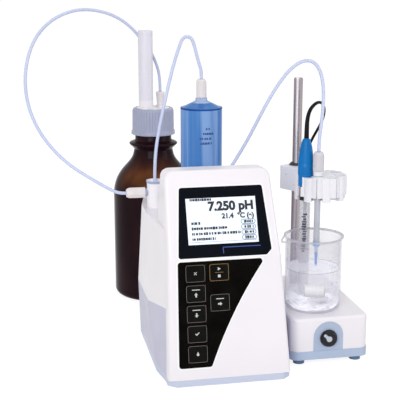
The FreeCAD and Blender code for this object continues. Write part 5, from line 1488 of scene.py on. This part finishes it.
class TITRATOR_OT_bottle(bpy.types.Operator):
    """Makes the amber bottle with its pouring lip, its reagent, its cap and its drying tube"""

    bl_idname = "titrator.bottle"
    bl_label = "Reagent bottle"

    def execute(self, context):
        axis = middle("bottle_glass")
        barrel, mouth = radius_of("bottle_glass") / MM, top_of("bottle_glass") / MM
        glass = turned("bottle_wall", self.wall(barrel, mouth) * MM, axis)
        dress(glass, "amber", "titrator")
        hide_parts("bottle_glass")
        self.fill(axis, (barrel - BOTTLE_WALL - 0.6) * MM)
        self.cap()
        self.drying_tube()
        return {"FINISHED"}

    def cap(self):
        """The ribbed screw cap: its radius is the profile's less a groove between each two ribs.

        The groove's form is (1 - |sin|) to the power 1.5. The profile's third number is the share
        of the groove that is cut there.
        """
        axis = middle("bottle_cap")
        foot, top = foot_of("bottle_cap") + 4.6 * MM, top_of("bottle_cap")
        inside, hole, roof = 22.8 * MM, 20.3 * MM, 3.7 * MM
        ribs, groove_depth = 40, 0.8 * MM
        profile = np.array([(inside, foot, 0), (27.1 * MM, foot, 0),
                            (27.3 * MM, foot + 0.8 * MM, 0), (26.9 * MM, foot + 4.0 * MM, 0),
                            (26.0 * MM, foot + 5.0 * MM, 0.2),
                            (25.9 * MM, foot + 6.2 * MM, 1), (25.6 * MM, top - 3.8 * MM, 1),
                            (25.2 * MM, top - 2.0 * MM, 0.6), (24.4 * MM, top - 0.7 * MM, 0),
                            (23.2 * MM, top, 0), (hole, top, 0), (hole, top - roof, 0),
                            (inside, top - roof, 0), (inside, foot, 0)])
        angle = full_turn(12 * ribs)
        radius, height, ribbed = profile.T[..., None]
        groove = (1 - np.abs(np.sin(ribs / 2 * angle))) ** 1.5
        points = around(axis, radius - ribbed * groove * groove_depth, angle, height)
        cap = new_piece("bottle_cap_ribbed", points, grid_faces(len(profile), len(angle)))
        dress(cap, "cap", "bottle_cap")
        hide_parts("bottle_cap")

    def drying_tube(self):
        """The drying tube: a straight wall with a flat top on a slightly wider foot."""
        foot, top, wide = (measure("drying_tube") for measure in (foot_of, top_of, radius_of))
        slim = wide - 0.8 * MM
        profile = [(0, foot), (wide, foot), (wide, foot + 1.6 * MM), (slim, foot + 2.4 * MM),
                   (slim, top - 0.7 * MM), (slim - 0.2 * MM, top - 0.2 * MM),
                   (slim - 0.7 * MM, top), (slim - 1.3 * MM, top - 0.1 * MM),
                   (slim - 1.5 * MM, top - 1.4 * MM),
                   (0, top - 1.6 * MM)]
        wall = turned("drying_tube_wall", profile, middle("drying_tube"))
        dress(wall, "drying", "titrator")
        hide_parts("drying_tube")

    def wall(self, barrel, mouth):
        """Radius and height in millimetres: up the outside, over the mouth and down the inside."""
        shoulder = [(0.0, 122), (0.0, BOTTLE_STRAIGHT), (0.7, 138), (1.9, 143.5), (3.6, 148.5),
                    (6.0, 153.5), (9.2, 158.6), (13.2, 163.6), (17.8, 168.6), (21.9, 173.6),
                    (24.6, 178.6), (25.9, 183.6), (26.6, 187.0)]
        shoulder = smooth_outline([(barrel - less, height) for less, height in shoulder])
        lip = smooth_outline([(24.4, 187.6), (26.4, 189.8), (28.8, 192.0), (30.0, 193.7),
                              (29.2, 195.2), (26.6, 196.4), (23.6, 197.6), (22.5, 199.6)], 4)
        corner = [(barrel - BOTTLE_HEEL * (1 - math.sin(turn)), BOTTLE_HEEL * (1 - math.cos(turn)))
                  for turn in np.linspace(0.0, math.pi / 2, 7)]
        inner = barrel - BOTTLE_WALL
        inside = [(17.5, mouth), (17.5, 183), (22.0, 172), (barrel - 12.6, 158),
                  (barrel - 5.5, 146), (inner, BOTTLE_STRAIGHT), (inner, 10),
                  (barrel - BOTTLE_HEEL, 4.5), (0, 4.0)]
        return np.array([(0, 0.6), (barrel - 16, 0.2), *corner, *shoulder, *lip,
                         (22.5, mouth - 0.6), (21.9, mouth), *inside])

    def fill(self, axis, radius):
        """The reagent; it reaches no higher than the straight part of the bottle's wall."""
        floor = 4.6 * MM
        level = min(sizes().bottle_fill, BOTTLE_STRAIGHT * MM)
        body = turned("reagent_body", [(0, floor), (radius - 5 * MM, floor + 0.5 * MM),
                                       (radius, floor + 6 * MM), (radius, level), (0, level)], axis)
        dress(body, "reagent", "titrator")


class TITRATOR_OT_beaker(bpy.types.Operator):
    """Fills the beaker, makes its rim with the spout and prints its patch and graduations"""

    bl_idname = "titrator.beaker"
    bl_label = "Beaker"

    def execute(self, context):
        axis = middle("beaker")
        foot, top = foot_of("beaker"), top_of("beaker")
        self.fill(axis, foot + 2.1 * MM, 28.3 * MM)
        self.spout_rim(axis, top)
        self.prints(axis, foot)
        return {"FINISHED"}

    def fill(self, axis, floor, inner):
        """The sample with its raised edge, and the line it draws on the glass."""
        level = floor + sizes().beaker_fill
        meniscus = [(inner, level + 1.1 * MM), (inner - 0.7 * MM, level + 0.4 * MM),
                    (inner - 2 * MM, level)]
        body = turned("sample_body", [(0, floor), (inner - 4 * MM, floor), (inner, floor + 4 * MM),
                                      *meniscus, (0, level)], axis)
        dress(body, "water", "titrator")
        loop = on_cylinder(axis, inner - 0.1 * MM, closed_turn(96), level + 0.5 * MM)
        dress(tube("water_line", loop, 0.3 * MM, 8), "water_line", "titrator")

    def spout_rim(self, axis, top):
        """The fire-polished rim: a circle that swells into a spout on the left and dips there.

        The swell is a bell curve of the angle from the spout's direction, outwards and down.
        """
        spout, breadth = math.radians(-82), 0.27
        turn = closed_turn(144)
        apart = (turn - spout + math.pi) % (2 * math.pi) - math.pi
        swell = np.exp(-(apart / breadth) ** 2)
        loop = on_cylinder(axis, 30.4 * MM + swell * 6.0 * MM, turn,
                           top - 1.1 * MM - swell * 3.4 * MM)
        dress(tube("beaker_rim", loop, 0.95 * MM, 10), "rim_glass", "titrator")

    def prints(self, axis, foot):
        """The writing patch and the graduations, without figures."""
        radius = 30 * MM
        patch = curved_label("beaker_patch", axis, radius, -0.24, foot + 26.5 * MM, 11.1 * MM,
                             6.5 * MM)
        dress(patch, "glass_ink", "titrator")
        for index in range(5):
            half_width = (3.2 if index % 2 else 4.6) * MM
            tick = curved_label(f"beaker_mark_{index + 1}", axis, radius, 0.52,
                                foot + (24 + index * 9) * MM, half_width, 0.35 * MM)
            dress(tick, "glass_ink", "titrator")


class TITRATOR_OT_electrode(bpy.types.Operator):
    """Makes the electrode's stem, chamber and bulb, its blue cap and the marks on its shaft"""

    bl_idname = "titrator.electrode"
    bl_label = "Electrode"

    def execute(self, context):
        axis = middle("electrode_shaft")
        foot, top = foot_of("electrode_shaft"), top_of("electrode_shaft")
        # Radius and height above the shaft's foot, in millimetres
        rise = (top - foot) / MM
        core = {
            "electrode_stem": ("frost", [(0, 8), (1.7, 9), (1.7, rise - 1), (0, rise - 1)]),
            "electrode_chamber": ("frost", [(0, 7), (4.2, 8), (4.6, 40), (0, 41)]),
            "electrode_bulb": ("bulb", [(0, 1.2), (2.6, 1.8), (3.4, 4), (2.6, 6.6), (0, 7)]),
        }
        for name, (look, profile) in core.items():
            piece = turned(name, np.array(profile) * MM + (0.0, foot), axis)
            dress(piece, look, "holder")
        self.print_marks(axis, top)
        self.cap()
        return {"FINISHED"}

    def cap(self):
        """The blue cap: slim where the clip holds it, full above and drawn in to the cable's boot.

        A low groove parts its grip from its body, and rows of small domes stand on the grip.
        """
        axis = middle("electrode_cap")
        foot, top, clip = foot_of("electrode_cap"), top_of("electrode_cap"), top_of("holder_head")
        held = [(0, foot), (6.8 * MM, foot), (7.8 * MM, foot + 1 * MM), (7.8 * MM, clip + 0.4 * MM)]
        grip = np.array([(8.2, 1.4), (8.3, 14.6), (8.05, 15), (8.3, 15.4)]) * MM + (0.0, clip)
        body = smooth_outline([(8.25, 16.4), (7.96, 19.0), (7.3, 24.8), (6.3, 31.2), (5.0, 36.6),
                               (3.9, 39.4), (2.7, 40.6)], 5) * MM + (0.0, clip)
        profile = np.concatenate([held, grip, body, [(2.6 * MM, top), (0, top)]])
        cap = turned("electrode_cap_body", profile, axis)
        dress(cap, "electrode", "holder")
        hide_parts("electrode_cap")
        for row in range(3):
            for column in range(5):
                angle = -0.75 + 0.26 * column + 0.13 * (row % 2)
                dome = self.dome(f"grip_dome_{row + 1}_{column + 1}", axis, 8.3 * MM, angle,
                                 clip + (4.2 + 3.0 * row) * MM)
                dress(dome, "electrode_grip", "holder")

    def dome(self, name, axis, radius, turn, height):
        """A small dome on an upright cylinder: rings of r cos b that rise by h sin b out of it."""
        place = on_cylinder(axis, radius, turn, height)
        out = np.array((math.sin(turn), -math.cos(turn), 0.0))
        side = np.array((math.cos(turn), math.sin(turn), 0.0))
        angle = full_turn(12)[None, :, None]
        lean = np.linspace(-0.35, math.pi / 2, 5)[:, None, None]
        rings = place + 0.75 * MM * np.cos(lean) * (np.cos(angle) * side + np.sin(angle) * UP) \
            + 0.45 * MM * np.sin(lean) * out
        return new_piece(name, rings, grid_faces(*rings.shape[:2]))

    def print_marks(self, axis, top):
        """A column of short uneven dashes up the shaft, where a scale would be printed."""
        draw = np.random.default_rng(4)
        for index in range(16):
            height = top - (30 + 2.7 * index) * MM
            mark = curved_label(f"shaft_mark_{index + 1}", axis, 6.0 * MM, draw.uniform(-0.5, -0.2),
                                height, draw.uniform(1.2, 2.8) * MM, draw.uniform(0.45, 1.0) * MM)
            dress(mark, "shaft_ink", "holder")


class TITRATOR_OT_trims(bpy.types.Operator):
    """Makes the stirrer's knob, the screws and the liners of the stirrer cover's corners"""

    bl_idname = "titrator.trims"
    bl_label = "Small trims"

    def execute(self, context):
        self.panel_screws()
        self.knob()
        self.arm_screw()
        self.cover_corners()
        return {"FINISHED"}

    def knob(self):
        """A knob turned about the front-to-back line.

        A point is axis + (r cos a, -h, r sin a), with h the profile's height out of the panel.
        """
        axis = np.array(joint("speed_knob_turn")["pos_m"])
        front = 5.8 * MM
        rim = axis[0] - corners("stirrer_knob")[0][0]
        profile = [(0, 0.3 * MM), (rim, 0.3 * MM), (rim, 1.8 * MM), (rim - 0.7 * MM, 2.6 * MM),
                   (rim - 1.0 * MM, front - 1.2 * MM), (rim - 1.7 * MM, front - 0.4 * MM),
                   (rim - 2.6 * MM, front), (0, front)]
        radius, height = np.array(profile).T[..., None]
        radius = np.maximum(radius, 1e-6)
        angle = full_turn(studio().segments)
        points = np.stack([axis[0] + radius * np.cos(angle), axis[1] - height + 0 * angle,
                           axis[2] + radius * np.sin(angle)], -1)
        knob = new_piece("stirrer_knob_body", points, grid_faces(len(radius), len(angle)))
        dress(knob, "knob", "stirrer_knob")
        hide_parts("stirrer_knob")
        face = Face("stirrer_knob", (0.0, -1.0, 0.0))
        face.origin = axis + face.out * front
        self.knob_pointer(face)

    def knob_pointer(self, face):
        """A pale bar from the knob's boss to its rim."""
        lean = math.radians(138)
        way = np.array((math.cos(lean), math.sin(lean)))
        aside = np.array((-math.sin(lean), math.cos(lean)))
        half, reach = 1.5 * MM, 8.6 * MM
        bar = [-half * aside, way * reach - half * aside, way * reach + half * aside, half * aside]
        turn = full_turn(32)
        disc = np.stack([np.cos(turn), np.sin(turn)], -1) * 3.0 * MM + way * 1.2 * MM
        for name, outline, thickness in (
                ("knob_pointer", rounded_outline(bar, 1.0 * MM, 4), 0.5 * MM),
                ("knob_boss", disc, 0.6 * MM)):
            piece = plate(name, face, outline, thickness)
            dress(piece, "knob_mark", "stirrer_knob")

    def arm_screw(self):
        """A small sunk screw in the arm's left face."""
        out = np.array((-0.875, -0.484, 0.0))
        side = np.array((0.484, -0.875, 0.0))
        centre = np.array((59.12, -35.42, 181.26)) * MM - out * 0.1 * MM
        screw = self.screw("arm_screw", centre, side, UP, out, 0.42)
        dress(screw, "steel", "holder")

    def cover_corners(self):
        """Quarter liners behind the stirrer cover's four upright corners.

        Each is a quarter turn of a radius just inside the cover's, carried up its height.
        """
        low, high = corners("stirrer_cover")
        corner, liner, wall = 9 * MM, 8.9 * MM, 1.2 * MM
        quarter = np.linspace(-0.06, math.pi / 2 + 0.06, 13)
        heights = np.array([low[2] + 0.5 * MM, high[2] - 3 * MM])[:, None]
        near, far = low + corner, high - corner
        centres = [(far[0], far[1]), (near[0], far[1]), (near[0], near[1]), (far[0], near[1])]
        for turns, centre in enumerate(centres):
            angle = quarter + turns * math.pi / 2
            outer = around(centre, liner, angle, heights)
            inner = around(centre, liner - wall, angle, heights)
            loop = np.concatenate([outer, inner[:, ::-1]], 1)
            piece = new_piece(f"cover_corner_{turns + 1}", loop, capped_faces(*loop.shape[:2]),
                              smooth=False)
            dress(piece, "housing", "titrator")

    def panel_screws(self):
        """Four pan-head screws in the corners of the rear panel, each with a round recess."""
        low, high = corners("rear_panel")
        face = Face("rear_panel", (0.0, 1.0, 0.0))
        half_width, _, half_height = (high - low) / 2 - 5 * MM
        for index, (side, level) in enumerate(((-1, -1), (1, -1), (1, 1), (-1, 1))):
            centre = face.at(side * half_width, level * half_height)
            screw = self.screw(f"panel_screw_{index + 1}", centre, -ACROSS, UP, face.out)
            dress(screw, "steel", "titrator")

    def screw(self, name, centre, side, up, out, scale=1.0):
        """A domed head: circles of falling radius and rising height, closed in its recess.

        A point is centre + (r cos a · side + r sin a · up + h · out).
        """
        profile = [(2.6, -0.3), (2.6, 0.5), (2.2, 1.1), (1.2, 1.5), (1.0, 0.9), (0.001, 0.9)]
        radius, height = np.array(profile).T[..., None, None] * scale * MM
        angle = full_turn(24)[:, None]
        rings = centre + radius * np.cos(angle) * side + radius * np.sin(angle) * up + height * out
        return new_piece(name, rings, grid_faces(*rings.shape[:2]))


class TITRATOR_OT_finishes(bpy.types.Operator):
    """Gives every CAD piece its finish"""

    bl_idname = "titrator.finishes"
    bl_label = "Finishes"

    def execute(self, context):
        for name, nodes in NODE_FINISHES.items():
            for node in nodes:
                materials = mesh_of(node).materials
                materials.clear()
                materials.append(finish(name))
        bare = set(frame["nodes"]).difference(*NODE_FINISHES.values())
        if bare:
            raise RuntimeError(f"these pieces have no finish: {sorted(bare)}")
        return {"FINISHED"}


class TITRATOR_PT_panel(bpy.types.Panel):
    """Lists the set's operators and sizes"""

    bl_label = "Titrator"
    bl_idname = "TITRATOR_PT_panel"
    bl_space_type = "VIEW_3D"
    bl_region_type = "UI"
    bl_category = "Titrator"

    def draw(self, context):
        layout = self.layout
        for operator in OPERATORS:
            layout.operator(operator.bl_idname)
        for group in (sizes(), colours(), studio()):
            column = layout.column()
            for name in group.__annotations__:
                column.prop(group, name)


# In the order in which they build the set
OPERATORS = (
    TITRATOR_OT_stage, TITRATOR_OT_hoses, TITRATOR_OT_cable, TITRATOR_OT_finishes,
    TITRATOR_OT_display, TITRATOR_OT_panels, TITRATOR_OT_keys, TITRATOR_OT_cylinder,
    TITRATOR_OT_bottle, TITRATOR_OT_beaker, TITRATOR_OT_electrode, TITRATOR_OT_trims)
GROUPS = {"titrator_sizes": TitratorSizes, "titrator_colours": TitratorColours,
          "titrator_studio": TitratorStudio}
CLASSES = (*GROUPS.values(), *OPERATORS, TITRATOR_PT_panel)


def register():
    for entry in CLASSES:
        bpy.utils.register_class(entry)
    for name, group in GROUPS.items():
        setattr(bpy.types.Scene, name, PointerProperty(type=group))


def unregister():
    for name in GROUPS:
        delattr(bpy.types.Scene, name)
    for entry in reversed(CLASSES):
        bpy.utils.unregister_class(entry)


def main():
    register()
    for operator in OPERATORS:
        family, name = operator.bl_idname.split(".")
        getattr(getattr(bpy.ops, family), name)()
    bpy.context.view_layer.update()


if __name__ == "__main__":
    main()
